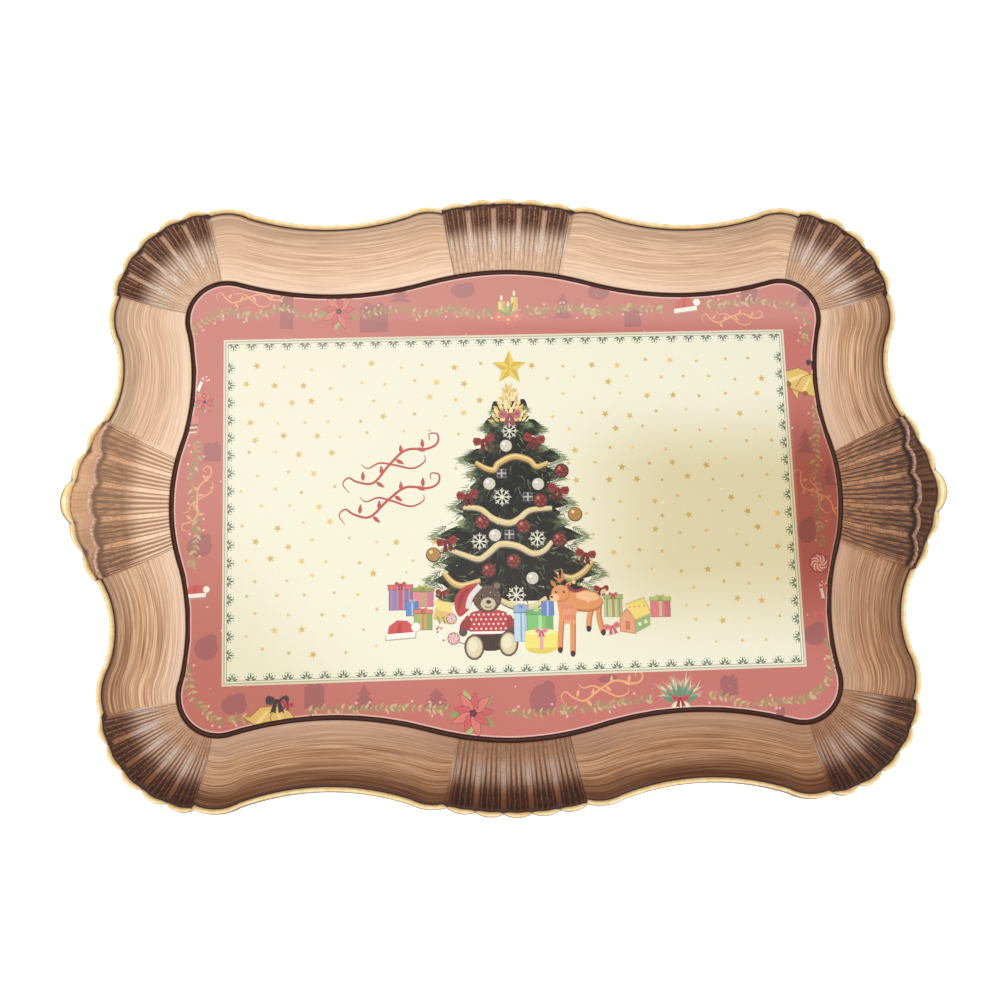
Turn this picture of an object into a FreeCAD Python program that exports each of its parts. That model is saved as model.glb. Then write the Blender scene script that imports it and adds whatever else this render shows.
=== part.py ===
import FreeCAD, Part
import math
import os

# Serving tray: one moulded dish with a coved, fluted rim and two scalloped handles, a gilt bead round its
# edge, and a printed picture bonded to its floor under a clear film.
# Frame: origin at the middle of the foot ring's underside, +X towards the right handle, +Y towards the
# top of the picture, +Z up. The outline is mirrored about X = 0 and Y = 0. Lengths are in millimetres.

Vector = FreeCAD.Vector

document = FreeCAD.newDocument("serving_tray")
sheet = document.addObject("Spreadsheet::Sheet", "dimensions")

DIMENSIONS = [
    # edge of the rim, measured to the notches between its lobes
    ("handle_reach", 225.0),
    ("edge_half_height", 156.0),
    ("corner_centre_x", 149.8),
    ("corner_centre_y", 98.1),
    ("corner_radius", 52.2),
    ("corner_start_angle", 8.0),
    ("corner_end_angle", 83.5),
    ("corner_lobes", 5),
    ("centre_half_width", 34.5),
    ("centre_radius", 154.0),
    ("centre_lobes", 5),
    ("handle_lobes", 2),
    ("lobe_rise", 2.1),
    ("centre_lobe_rise", 1.6),
    # foot of the rim, where it meets the groove round the floor
    ("foot_half_width", 176.0),
    ("foot_half_height", 124.1),
    # lip between the crest of the rim and its edge
    ("plain_lip", 3.6),
    ("tip_lip", 15.6),
    ("notch_lip", 13.0),
    # section
    ("overall_height", 22.0),
    ("foot_ring_height", 3.0),
    ("foot_ring_width", 2.6),
    ("foot_ring_inset", 1.8),
    ("foot_ring_draft", 0.6),
    ("floor_thickness", 2.4),
    ("wall_thickness", 2.4),
    ("groove_width", 2.0),
    ("groove_depth", 0.9),
    ("groove_side", 0.3),
    ("rim_foot_step", 0.5),
    ("typical_rim_width", 31.0),
    ("bead_width", 2.4),
    ("bead_height", 2.8),
    ("crest_above_ledge", 0.6),
    ("edge_wall", 1.6),
    ("edge_wall_draft", 0.3),
    ("edge_wall_base", 0.9),
    # picture
    ("picture_gap", 2.6),
    ("adhesive_inset", 0.6),
    ("adhesive_thickness", 0.15),
    ("picture_thickness", 0.4),
    ("film_thickness", 0.15),
]


def fill_sheet():
    for row, (name, value) in enumerate(DIMENSIONS, start=1):
        sheet.set("A%d" % row, name)
        sheet.set("B%d" % row, str(value))
        sheet.setAlias("B%d" % row, name)
    document.recompute()


fill_sheet()
size = {name: float(sheet.get(name)) for name, _ in DIMENSIONS}


# ---- plane geometry ----

def circle_centre(first, middle, last):
    """Centre of the circle through three points that are not in line."""
    ax, ay = first
    bx, by = middle
    cx, cy = last
    twice_area = 2.0 * (ax * (by - cy) + bx * (cy - ay) + cx * (ay - by))
    a2 = ax * ax + ay * ay
    b2 = bx * bx + by * by
    c2 = cx * cx + cy * cy
    x = (a2 * (by - cy) + b2 * (cy - ay) + c2 * (ay - by)) / twice_area
    y = (a2 * (cx - bx) + b2 * (ax - cx) + c2 * (bx - ax)) / twice_area
    return x, y


def along_arc(arc, share):
    """Point at a share of the way along the arc through three given points."""
    first, middle, last = arc
    x, y = circle_centre(first, middle, last)
    start = math.atan2(first[1] - y, first[0] - x)
    turn = math.atan2(last[1] - y, last[0] - x) - start
    turn = (turn + math.pi) % (2.0 * math.pi) - math.pi
    radius = math.hypot(first[0] - x, first[1] - y)
    angle = start + turn * share
    return x + radius * math.cos(angle), y + radius * math.sin(angle)


def on_circle(centre, radius, degrees):
    angle = math.radians(degrees)
    return centre[0] + radius * math.cos(angle), centre[1] + radius * math.sin(angle)


def between(a, b, share):
    return a[0] + (b[0] - a[0]) * share, a[1] + (b[1] - a[1]) * share


def direction(start, end):
    length = math.hypot(end[0] - start[0], end[1] - start[1])
    return (end[0] - start[0]) / length, (end[1] - start[1]) / length


# ---- the two outlines of the rim, in the right upper quarter ----

def outer_arcs():
    """The rim's edge, from the tip of the handle to the top centre."""
    reach = size["handle_reach"]
    corner = (size["corner_centre_x"], size["corner_centre_y"])
    corner_angles = (size["corner_start_angle"], size["corner_end_angle"])
    corner_start = on_circle(corner, size["corner_radius"], corner_angles[0])
    corner_middle = on_circle(corner, size["corner_radius"], sum(corner_angles) / 2.0)
    corner_end = on_circle(corner, size["corner_radius"], corner_angles[1])
    centre = (0.0, size["edge_half_height"] - size["centre_radius"])
    centre_angle = math.degrees(math.asin(size["centre_half_width"] / size["centre_radius"]))
    centre_start = on_circle(centre, size["centre_radius"], 90.0 - centre_angle)
    centre_middle = on_circle(centre, size["centre_radius"], 90.0 - centre_angle / 2.0)
    tip_notch = (reach - 5.2, 10.8)
    handle_end = (reach - 19.3, 40.2)
    waist_end = (200.7, 80.5)
    dip_start = (133.0, 149.4)
    dip_end = (52.0, 150.2)
    return {
        "handle_tip": ((tip_notch[0], -tip_notch[1]), (reach, 0.0), tip_notch),
        "handle_side": (tip_notch, (reach - 12.5, 26.5), handle_end),
        "side_waist": (handle_end, (198.6, 60.5), waist_end),
        "side_shoulder": (waist_end, (203.9, 94.0), corner_start),
        "corner": (corner_start, corner_middle, corner_end),
        "top_shoulder": (corner_end, (147.5, 152.2), dip_start),
        "top_dip": (dip_start, (92.0, 143.2), dip_end),
        "top_rise": (dip_end, (41.0, 152.9), centre_start),
        "centre": (centre_start, centre_middle, (0.0, size["edge_half_height"])),
    }


def inner_arcs():
    """The rim's foot, from the middle of the side to the top centre."""
    half_width = size["foot_half_width"]
    half_height = size["foot_half_height"]
    bulge_end = (half_width - 6.0, 34.4)
    corner_start = (half_width - 7.3, 89.4)
    corner_end = (half_width - 34.0, half_height - 6.5)
    dip_end = (43.4, half_height - 6.2)
    return {
        "bulge": ((half_width - 6.0, -34.4), (half_width, 0.0), bulge_end),
        "waist": (bulge_end, (half_width - 9.9, 62.0), corner_start),
        "corner": (corner_start, (half_width - 12.5, half_height - 11.6), corner_end),
        "dip": (corner_end, (90.5, half_height - 13.2), dip_end),
        "crown": (dip_end, (22.2, half_height - 1.7), (0.0, half_height)),
    }


# ---- the rim as a chain of stretches ----
# A stretch has three stations, at its start, middle and end. A station is a point on the foot, a point on
# the edge and the width of the lip. A lobe is a stretch whose middle rises outwards.

def stretches(outer_arc, outer_span, inner_arc, inner_span, lips, count=1, rise=0.0):
    """Equal stretches side by side between matching spans of an outer and an inner arc."""
    def shared(pair, step):
        return pair[0] + (pair[1] - pair[0]) * step / (2 * count)

    stations = [
        (along_arc(inner_arc, shared(inner_span, step)),
         along_arc(outer_arc, shared(outer_span, step)),
         shared(lips, step))
        for step in range(2 * int(count) + 1)
    ]
    return [(stations[step:step + 3], rise) for step in range(0, 2 * int(count), 2)]


def quarter_rim():
    """The rim from the middle of the handle to the last notch before the top centre."""
    outer = outer_arcs()
    inner = inner_arcs()
    plain = (size["plain_lip"], size["plain_lip"])
    tip_end = 0.575
    handle_end = 0.84
    corner_fan = (0.24, 0.80)
    centre_start = 0.35
    shared_lobe = 1.0 / size["centre_lobes"]
    centre_end = 1.0 - shared_lobe * (1.0 - centre_start)
    return (
        stretches(outer["handle_tip"], (0.5, 1.0), inner["bulge"], (0.5, tip_end),
                  (size["tip_lip"], size["notch_lip"]))
        + stretches(outer["handle_side"], (0.0, 1.0), inner["bulge"], (tip_end, handle_end),
                    (size["notch_lip"], size["plain_lip"]), size["handle_lobes"], size["lobe_rise"])
        + stretches(outer["side_waist"], (0.0, 0.2), inner["bulge"], (handle_end, 1.0), plain)
        + stretches(outer["side_waist"], (0.2, 1.0), inner["waist"], (0.0, 1.0), plain)
        + stretches(outer["side_shoulder"], (0.0, 1.0), inner["corner"], (0.0, corner_fan[0]), plain)
        + stretches(outer["corner"], (0.0, 1.0), inner["corner"], corner_fan, plain,
                    size["corner_lobes"], size["lobe_rise"])
        + stretches(outer["top_shoulder"], (0.0, 1.0), inner["corner"], (corner_fan[1], 1.0), plain)
        + stretches(outer["top_dip"], (0.0, 1.0), inner["dip"], (0.0, 1.0), plain)
        + stretches(outer["top_rise"], (0.0, 1.0), inner["crown"], (0.0, centre_start), plain)
        + stretches(outer["centre"], (0.0, 1.0 - shared_lobe), inner["crown"], (centre_start, centre_end),
                    plain, (size["centre_lobes"] - 1) / 2, size["centre_lobe_rise"])
    )


def mirrored(chain, x_sign, y_sign):
    """The same stretches in another quarter, kept in anticlockwise order."""
    turned = [
        ([((ix * x_sign, iy * y_sign), (ox * x_sign, oy * y_sign), lip)
          for (ix, iy), (ox, oy), lip in stations], rise)
        for stations, rise in chain
    ]
    if x_sign * y_sign < 0:
        turned = [(stations[::-1], rise) for stations, rise in turned[::-1]]
    return turned


def middle_lobe(quarter):
    """The lobe across the top centre, between the last notches of two quarters."""
    notch = quarter[-1][0][-1]
    crown = ((0.0, size["foot_half_height"]), (0.0, size["edge_half_height"]), size["plain_lip"])
    far_notch = ((-notch[0][0], notch[0][1]), (-notch[1][0], notch[1][1]), notch[2])
    return [([notch, crown, far_notch], size["centre_lobe_rise"])]


def whole_rim():
    """All stretches, anticlockwise from the tip of the right handle."""
    quarter = quarter_rim()
    top = middle_lobe(quarter)
    return (quarter + top + mirrored(quarter, -1, 1)
            + mirrored(quarter, -1, -1) + mirrored(top, -1, -1) + mirrored(quarter, 1, -1))


RIM = whole_rim()


# ---- contours: closed chains of arcs that follow the rim at one place across it ----

def place_point(station, place, rise):
    """Point of a station at a place across the rim: share of the way from foot to crest, share of the way
    from crest to edge, and a shift outwards."""
    foot, edge, lip = station
    cove_share, lip_share, shift = place
    outward = direction(foot, edge)
    crest = (edge[0] - outward[0] * lip, edge[1] - outward[1] * lip)
    point = between(foot, crest, cove_share)
    reach = lip * lip_share + shift + rise * max(0.0, cove_share) ** 2
    return point[0] + outward[0] * reach, point[1] + outward[1] * reach


def contour(place, height):
    """Edges of one closed contour, one edge for each stretch of the rim."""
    edges = []
    for stations, rise in RIM:
        start, middle, end = [
            Vector(*place_point(station, place, station_rise), height)
            for station, station_rise in zip(stations, (0.0, rise, 0.0))
        ]
        edges.append(Part.Arc(start, middle, end).toShape())
    return edges


def band(first, second):
    """Faces that join two contours: one flat ring where both are at the same height."""
    if abs(first[0].Vertexes[0].Z - second[0].Vertexes[0].Z) < 1e-9:
        return [Part.makeFace([Part.Wire(first), Part.Wire(second)], "Part::FaceMakerBullseye")]
    return [Part.makeRuledSurface(a, b) for a, b in zip(first, second)]


def skin_solid(contours, ring):
    """Solid whose skin passes through the contours in order. A ring closes on itself. Any other solid has a
    flat face inside its first contour and another inside its last."""
    faces = []
    for first, second in zip(contours, contours[1:]):
        faces += band(first, second)
    if ring:
        faces += band(contours[-1], contours[0])
    else:
        faces += [Part.Face(Part.Wire(contours[0])), Part.Face(Part.Wire(contours[-1]))]
    shell = Part.makeShell(faces)
    shell.sewShape()
    solid = Part.makeSolid(shell)
    if solid.Volume < 0.0:
        solid.reverse()
    return solid


def from_foot(shift):
    return 0.0, 0.0, shift


def from_edge(inset):
    return 1.0, 1.0, -inset


# ---- the moulded dish ----

FLOOR_TOP = size["foot_ring_height"] + size["floor_thickness"]
LEDGE_TOP = size["overall_height"] - size["bead_height"]
CREST_TOP = LEDGE_TOP + size["crest_above_ledge"]
RIM_FOOT = FLOOR_TOP + size["rim_foot_step"]
COVE_STEPS = (0.0, 0.2, 0.4, 0.6, 0.8, 1.0)
COVE_START_SLOPE = 0.25


def cove_height(share):
    """Height of the cove, which leaves its foot nearly level and steepens towards its crest."""
    lift = COVE_START_SLOPE * share + (1.0 - COVE_START_SLOPE) * share ** 2
    return RIM_FOOT + (CREST_TOP - RIM_FOOT) * lift


def cove_slope(share):
    lift_rate = COVE_START_SLOPE + 2.0 * (1.0 - COVE_START_SLOPE) * share
    return (CREST_TOP - RIM_FOOT) * lift_rate / size["typical_rim_width"]


def cove_underside(share):
    """Contour a wall's thickness behind the cove."""
    slope = cove_slope(share)
    run = math.hypot(1.0, slope)
    place = (share, 0.0, size["wall_thickness"] * slope / run)
    return contour(place, cove_height(share) - size["wall_thickness"] / run)


def tray_shell():
    groove_floor = FLOOR_TOP - size["groove_depth"]
    groove_side = size["groove_side"]
    edge_underside = LEDGE_TOP - size["edge_wall"]
    edge_draft = size["edge_wall_draft"]
    ring_outside = -size["foot_ring_inset"]
    ring_inside = ring_outside - size["foot_ring_width"]
    draft = size["foot_ring_draft"]
    floor_edge = [
        contour(from_foot(-size["groove_width"] - groove_side), FLOOR_TOP),
        contour(from_foot(-size["groove_width"]), groove_floor),
        contour(from_foot(-groove_side), groove_floor),
    ]
    cove = [contour((share, 0.0, 0.0), cove_height(share)) for share in COVE_STEPS]
    edge = [
        contour((1.0, 0.0, size["crest_above_ledge"]), LEDGE_TOP),
        contour(from_edge(size["bead_width"]), LEDGE_TOP),
        contour(from_edge(0.0), LEDGE_TOP),
        contour(from_edge(edge_draft), edge_underside),
        contour(from_edge(edge_draft + size["edge_wall_base"]), edge_underside),
    ]
    underside = [cove_underside(share) for share in COVE_STEPS[::-1]]
    foot_ring = [
        contour(from_foot(ring_outside + draft), size["foot_ring_height"]),
        contour(from_foot(ring_outside), 0.0),
        contour(from_foot(ring_inside), 0.0),
        contour(from_foot(ring_inside - draft), size["foot_ring_height"]),
    ]
    return skin_solid(floor_edge + cove + edge + underside + foot_ring, ring=False)


def gilt_bead():
    """Half-round bead along the whole edge, standing on the ledge."""
    half_width = size["bead_width"] / 2.0
    steps = 6
    contours = []
    for step in range(steps + 1):
        angle = math.pi * step / steps
        contours.append(contour(from_edge(half_width * (1.0 - math.cos(angle))),
                                LEDGE_TOP + size["bead_height"] * math.sin(angle)))
    return skin_solid(contours, ring=True)


def set_shape(label, shape):
    feature = document.addObject("Part::Feature", label)
    feature.Shape = shape
    feature.Placement = FreeCAD.Placement()
    return feature


# ---- the bonded picture: adhesive, printed sheet and clear film ----

def flat_layer(label, inset, thickness, height):
    """Thin sheet with the floor's outline, set in from the foot of the rim."""
    body = document.addObject("PartDesign::Body", label)
    sketch = body.newObject("Sketcher::SketchObject", label + "_outline")
    plane = [feature for feature in body.Origin.OriginFeatures if feature.Role == "XY_Plane"][0]
    sketch.AttachmentSupport = [(plane, "")]
    sketch.MapMode = "FlatFace"
    for edge in contour(from_foot(-inset), 0.0):
        arc = Part.ArcOfCircle(edge.Curve, edge.FirstParameter, edge.LastParameter)
        sketch.addGeometry(arc, False)
    pad = body.newObject("PartDesign::Pad", label + "_pad")
    pad.Profile = sketch
    pad.setExpression("Length", thickness)
    body.setExpression(".Placement.Base.z", height)
    return body


def bonded_picture():
    floor = "dimensions.foot_ring_height + dimensions.floor_thickness"
    glued = floor + " + dimensions.adhesive_thickness"
    printed = glued + " + dimensions.picture_thickness"
    gap = size["picture_gap"]
    return [
        flat_layer("picture_adhesive", gap + size["adhesive_inset"], "dimensions.adhesive_thickness", floor),
        flat_layer("picture_sheet", gap, "dimensions.picture_thickness", glued),
        flat_layer("clear_film", gap, "dimensions.film_thickness", printed),
    ]


def check(features):
    for feature in document.Objects:
        if "Invalid" in feature.State or "Error" in feature.State:
            raise RuntimeError("%s failed: %s" % (feature.Name, feature.State))
    for feature in features:
        shape = feature.Shape
        if shape.isNull() or not shape.isValid() or not shape.Solids:
            raise RuntimeError("%s has no valid solid" % feature.Label)
        print(feature.Label, "volume %.0f" % shape.Volume, shape.BoundBox)


def export(features):
    os.makedirs("parts", exist_ok=True)
    for feature in features:
        feature.Shape.exportStep("parts/%s.step" % feature.Label)


subparts = [set_shape("tray_shell", tray_shell()), set_shape("gilt_bead", gilt_bead())] + bonded_picture()
document.recompute()
check(subparts)
export(subparts)
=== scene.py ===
import math
import random

import bpy
import numpy as np
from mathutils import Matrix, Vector
from mathutils.geometry import delaunay_2d_cdt


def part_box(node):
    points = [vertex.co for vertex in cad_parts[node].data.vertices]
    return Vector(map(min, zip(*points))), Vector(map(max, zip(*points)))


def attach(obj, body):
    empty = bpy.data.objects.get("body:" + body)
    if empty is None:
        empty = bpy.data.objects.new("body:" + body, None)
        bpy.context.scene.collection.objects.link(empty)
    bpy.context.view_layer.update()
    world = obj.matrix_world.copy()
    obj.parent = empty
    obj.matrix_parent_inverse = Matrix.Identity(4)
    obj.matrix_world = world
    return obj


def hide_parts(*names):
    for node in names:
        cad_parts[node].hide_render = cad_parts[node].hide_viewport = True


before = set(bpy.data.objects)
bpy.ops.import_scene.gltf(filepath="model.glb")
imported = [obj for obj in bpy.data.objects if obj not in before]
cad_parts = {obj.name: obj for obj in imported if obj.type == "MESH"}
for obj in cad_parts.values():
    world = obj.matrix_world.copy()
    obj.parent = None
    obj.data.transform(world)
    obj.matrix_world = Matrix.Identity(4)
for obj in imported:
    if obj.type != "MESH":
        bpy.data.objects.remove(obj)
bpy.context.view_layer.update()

# Serving tray with a brushed wood-effect rim, gilt edge and a printed seasonal picture under a gloss film.
# The outline is worked out in millimetres, as the moulding is drawn, and turned into metres in the meshes.

MM = 0.001
RNG = random.Random(24)

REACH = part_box("gilt_bead")[1].x / MM
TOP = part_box("gilt_bead")[1].z / MM
FLOOR_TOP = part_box("picture_adhesive")[0].z / MM
LEDGE_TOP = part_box("gilt_bead")[0].z / MM
CREST_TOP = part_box("tray_shell")[1].z / MM
BEAD_WIDTH = 2.4
HALF_HEIGHT = 156.0
# the rim's foot, where it meets the groove round the floor
FOOT_HALF_WIDTH = 176.0
FOOT_HALF_HEIGHT = 124.1
# width of the flat lip outside the crest: along the rim, at a handle's tip, and at the tip lobe's notches
PLAIN_LIP = 3.6
TIP_LIP = 15.6
NOTCH_LIP = 13.0
# how far a lobe swells outwards
LOBE_RISE = 2.1
CENTRE_LOBE_RISE = 1.6
# the bead lies a little in from the edge, sinks into the ledge, and swells towards a handle's tip
BEAD_INSET = 0.35
BEAD_SINK = 0.15
BEAD_STEPS = 9
TIP_SWELL = 2.6
TIP_SWELL_REACH = 24.0
# the foot ring under the floor
FOOT_RING_HEIGHT = 3.0
FOOT_RING_INSET = 1.9
FOOT_RING_WIDTH = 2.4
FOOT_RING_ROUNDING = 0.15


# ---- plane geometry ----

def circle_centre(first, middle, last):
    ax, ay = first
    bx, by = middle
    cx, cy = last
    twice_area = 2.0 * (ax * (by - cy) + bx * (cy - ay) + cx * (ay - by))
    a2 = ax * ax + ay * ay
    b2 = bx * bx + by * by
    c2 = cx * cx + cy * cy
    x = (a2 * (by - cy) + b2 * (cy - ay) + c2 * (ay - by)) / twice_area
    y = (a2 * (cx - bx) + b2 * (ax - cx) + c2 * (bx - ax)) / twice_area
    return x, y


def along_arc(arc, share):
    """Point at a share of the way along the arc through three given points."""
    first, middle, last = arc
    x, y = circle_centre(first, middle, last)
    start = math.atan2(first[1] - y, first[0] - x)
    turn = math.atan2(last[1] - y, last[0] - x) - start
    turn = (turn + math.pi) % (2.0 * math.pi) - math.pi
    radius = math.hypot(first[0] - x, first[1] - y)
    angle = start + turn * share
    return x + radius * math.cos(angle), y + radius * math.sin(angle)


def on_circle(centre, radius, degrees):
    angle = math.radians(degrees)
    return centre[0] + radius * math.cos(angle), centre[1] + radius * math.sin(angle)


def outer_arcs():
    """The rim's edge in the right upper quarter, from the tip of the handle to the top centre."""
    corner = (149.8, 98.1)
    corner_radius = 52.2
    corner_start = on_circle(corner, corner_radius, 8.0)
    corner_middle = on_circle(corner, corner_radius, 45.75)
    corner_end = on_circle(corner, corner_radius, 83.5)
    centre_radius = 154.0
    centre = (0.0, HALF_HEIGHT - centre_radius)
    centre_angle = math.degrees(math.asin(34.5 / centre_radius))
    centre_start = on_circle(centre, centre_radius, 90.0 - centre_angle)
    centre_middle = on_circle(centre, centre_radius, 90.0 - centre_angle / 2.0)
    tip_notch = (REACH - 5.2, 10.8)
    handle_end = (REACH - 19.3, 40.2)
    waist_end = (200.7, 80.5)
    dip_start = (133.0, 149.4)
    dip_end = (52.0, 150.2)
    return {
        "handle_tip": ((tip_notch[0], -tip_notch[1]), (REACH, 0.0), tip_notch),
        "handle_side": (tip_notch, (REACH - 12.5, 26.5), handle_end),
        "side_waist": (handle_end, (198.6, 60.5), waist_end),
        "side_shoulder": (waist_end, (203.9, 94.0), corner_start),
        "corner": (corner_start, corner_middle, corner_end),
        "top_shoulder": (corner_end, (147.5, 152.2), dip_start),
        "top_dip": (dip_start, (92.0, 143.2), dip_end),
        "top_rise": (dip_end, (41.0, 152.9), centre_start),
        "centre": (centre_start, centre_middle, (0.0, HALF_HEIGHT)),
    }


def inner_arcs():
    """The rim's foot, from the middle of the side to the top centre."""
    bulge_end = (FOOT_HALF_WIDTH - 6.0, 34.4)
    corner_start = (FOOT_HALF_WIDTH - 7.3, 89.4)
    corner_end = (FOOT_HALF_WIDTH - 34.0, FOOT_HALF_HEIGHT - 6.5)
    dip_end = (43.4, FOOT_HALF_HEIGHT - 6.2)
    return {
        "bulge": ((FOOT_HALF_WIDTH - 6.0, -34.4), (FOOT_HALF_WIDTH, 0.0), bulge_end),
        "waist": (bulge_end, (FOOT_HALF_WIDTH - 9.9, 62.0), corner_start),
        "corner": (corner_start, (FOOT_HALF_WIDTH - 12.5, FOOT_HALF_HEIGHT - 11.6), corner_end),
        "dip": (corner_end, (90.5, FOOT_HALF_HEIGHT - 13.2), dip_end),
        "crown": (dip_end, (22.2, FOOT_HALF_HEIGHT - 1.7), (0.0, FOOT_HALF_HEIGHT)),
    }


# ---- the rim as a chain of stretches ----
# A stretch has three stations (foot, edge, width of the lip), the rise of its lobe, and its kind of finish.

PLAIN, FLUTED, HANDLE = 0, 1, 2


def stretches(outer_arc, outer_span, inner_arc, inner_span, lips, kind=PLAIN, count=1, rise=0.0):
    def shared(pair, step):
        return pair[0] + (pair[1] - pair[0]) * step / (2 * count)

    stations = [
        (along_arc(inner_arc, shared(inner_span, step)),
         along_arc(outer_arc, shared(outer_span, step)),
         shared(lips, step))
        for step in range(2 * count + 1)
    ]
    return [(stations[step:step + 3], rise, kind) for step in range(0, 2 * count, 2)]


def quarter_rim():
    outer = outer_arcs()
    inner = inner_arcs()
    plain = (PLAIN_LIP, PLAIN_LIP)
    tip_end = 0.575
    handle_end = 0.84
    corner_fan = (0.24, 0.80)
    centre_start = 0.35
    centre_end = 1.0 - 0.2 * (1.0 - centre_start)
    return (
        stretches(outer["handle_tip"], (0.5, 1.0), inner["bulge"], (0.5, tip_end), (TIP_LIP, NOTCH_LIP),
                  HANDLE)
        + stretches(outer["handle_side"], (0.0, 1.0), inner["bulge"], (tip_end, handle_end),
                    (NOTCH_LIP, PLAIN_LIP), HANDLE, 2, LOBE_RISE)
        + stretches(outer["side_waist"], (0.0, 0.2), inner["bulge"], (handle_end, 1.0), plain)
        + stretches(outer["side_waist"], (0.2, 1.0), inner["waist"], (0.0, 1.0), plain)
        + stretches(outer["side_shoulder"], (0.0, 1.0), inner["corner"], (0.0, corner_fan[0]), plain)
        + stretches(outer["corner"], (0.0, 1.0), inner["corner"], corner_fan, plain, FLUTED, 5, LOBE_RISE)
        + stretches(outer["top_shoulder"], (0.0, 1.0), inner["corner"], (corner_fan[1], 1.0), plain)
        + stretches(outer["top_dip"], (0.0, 1.0), inner["dip"], (0.0, 1.0), plain)
        + stretches(outer["top_rise"], (0.0, 1.0), inner["crown"], (0.0, centre_start), plain)
        + stretches(outer["centre"], (0.0, 0.8), inner["crown"], (centre_start, centre_end), plain,
                    FLUTED, 2, CENTRE_LOBE_RISE)
    )


def mirrored(chain, x_sign, y_sign):
    turned = [
        ([((ix * x_sign, iy * y_sign), (ox * x_sign, oy * y_sign), lip)
          for (ix, iy), (ox, oy), lip in stations], rise, kind)
        for stations, rise, kind in chain
    ]
    if x_sign * y_sign < 0:
        turned = [(stations[::-1], rise, kind) for stations, rise, kind in turned[::-1]]
    return turned


def whole_rim():
    """All stretches, anticlockwise from the tip of the right handle."""
    quarter = quarter_rim()
    notch = quarter[-1][0][-1]
    crown = ((0.0, FOOT_HALF_HEIGHT), (0.0, HALF_HEIGHT), PLAIN_LIP)
    far_notch = ((-notch[0][0], notch[0][1]), (-notch[1][0], notch[1][1]), PLAIN_LIP)
    top = [([notch, crown, far_notch], CENTRE_LOBE_RISE, FLUTED)]
    return (quarter + top + mirrored(quarter, -1, 1)
            + mirrored(quarter, -1, -1) + mirrored(top, -1, -1) + mirrored(quarter, 1, -1))


RIM = whole_rim()


# ---- columns: the places along the rim where its section is drawn ----

PLAIN_SPACING = 2.4
RIBBED_SPACING = 0.58


def place_point(station, place, rise):
    """Point at a share from foot to crest, a share from crest to edge, and a shift outwards."""
    foot, edge, lip = station
    cove_share, lip_share, shift = place
    length = math.dist(foot, edge)
    outward = ((edge[0] - foot[0]) / length, (edge[1] - foot[1]) / length)
    crest = (edge[0] - outward[0] * lip, edge[1] - outward[1] * lip)
    reach = lip * lip_share + shift + rise * max(0.0, cove_share) ** 2
    return (foot[0] + (crest[0] - foot[0]) * cove_share + outward[0] * reach,
            foot[1] + (crest[1] - foot[1]) * cove_share + outward[1] * reach)


def columns_in(stretch):
    """How many columns a stretch needs: close together where it is ribbed."""
    stations, _, kind = stretch
    length = math.dist(stations[0][1], stations[1][1]) + math.dist(stations[1][1], stations[2][1])
    spacing = PLAIN_SPACING if kind == PLAIN else RIBBED_SPACING
    return max(4, round(length / spacing))


def lobe_place(stretch, share):
    """-1 at one notch, 0 on the lobe's top, 1 at the next notch. The tip's lobe is two half stretches."""
    stations, rise, kind = stretch
    if kind == PLAIN:
        return 0.0
    if rise > 0.0:
        return 2.0 * share - 1.0
    starts_at_tip = abs(stations[0][1][1]) < abs(stations[2][1][1])
    return share if starts_at_tip else share - 1.0


class Columns:
    """What the rim's columns share at every place across it."""

    def __init__(self):
        self.share, self.owner, lobe, kind = [], [], [], []
        for index, stretch in enumerate(RIM):
            count = columns_in(stretch)
            for step in range(count):
                share = step / count
                self.share.append(share)
                self.owner.append(index)
                lobe.append(lobe_place(stretch, share))
                kind.append(stretch[2])
        self.lobe = np.array(lobe)
        self.kind = np.array(kind)
        self.fluted = (self.kind == FLUTED).astype(float)
        self.handle = (self.kind == HANDLE).astype(float)
        lobed = self.kind != PLAIN
        group_start = lobed & np.roll(lobed, 1) & ~np.roll(lobed, 2)
        group_end = lobed & ~np.roll(lobed, -1)
        self.join = (group_start | group_end).astype(float)
        middle = self.contour((0.6, 0.0, 0.0))
        gaps = np.linalg.norm(np.roll(middle, -1, 0) - middle, axis=1)
        self.along = np.concatenate([[0.0], np.cumsum(gaps)])

    def contour(self, place):
        """One point per column, at one place across the rim."""
        points = []
        last_owner = None
        for share, owner in zip(self.share, self.owner):
            if owner != last_owner:
                stations, rise, _ = RIM[owner]
                arc = [place_point(s, place, r) for s, r in zip(stations, (0.0, rise, 0.0))]
                last_owner = owner
            points.append(along_arc(arc, share))
        return np.array(points)


COLUMNS = Columns()


# ---- meshes ----

def add_object(name, data):
    obj = bpy.data.objects.new(name, data)
    bpy.context.scene.collection.objects.link(obj)
    return obj


def link(mesh, name, material, body="root"):
    obj = add_object(name, mesh)
    mesh.materials.append(material)
    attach(obj, body)
    return obj


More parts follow.
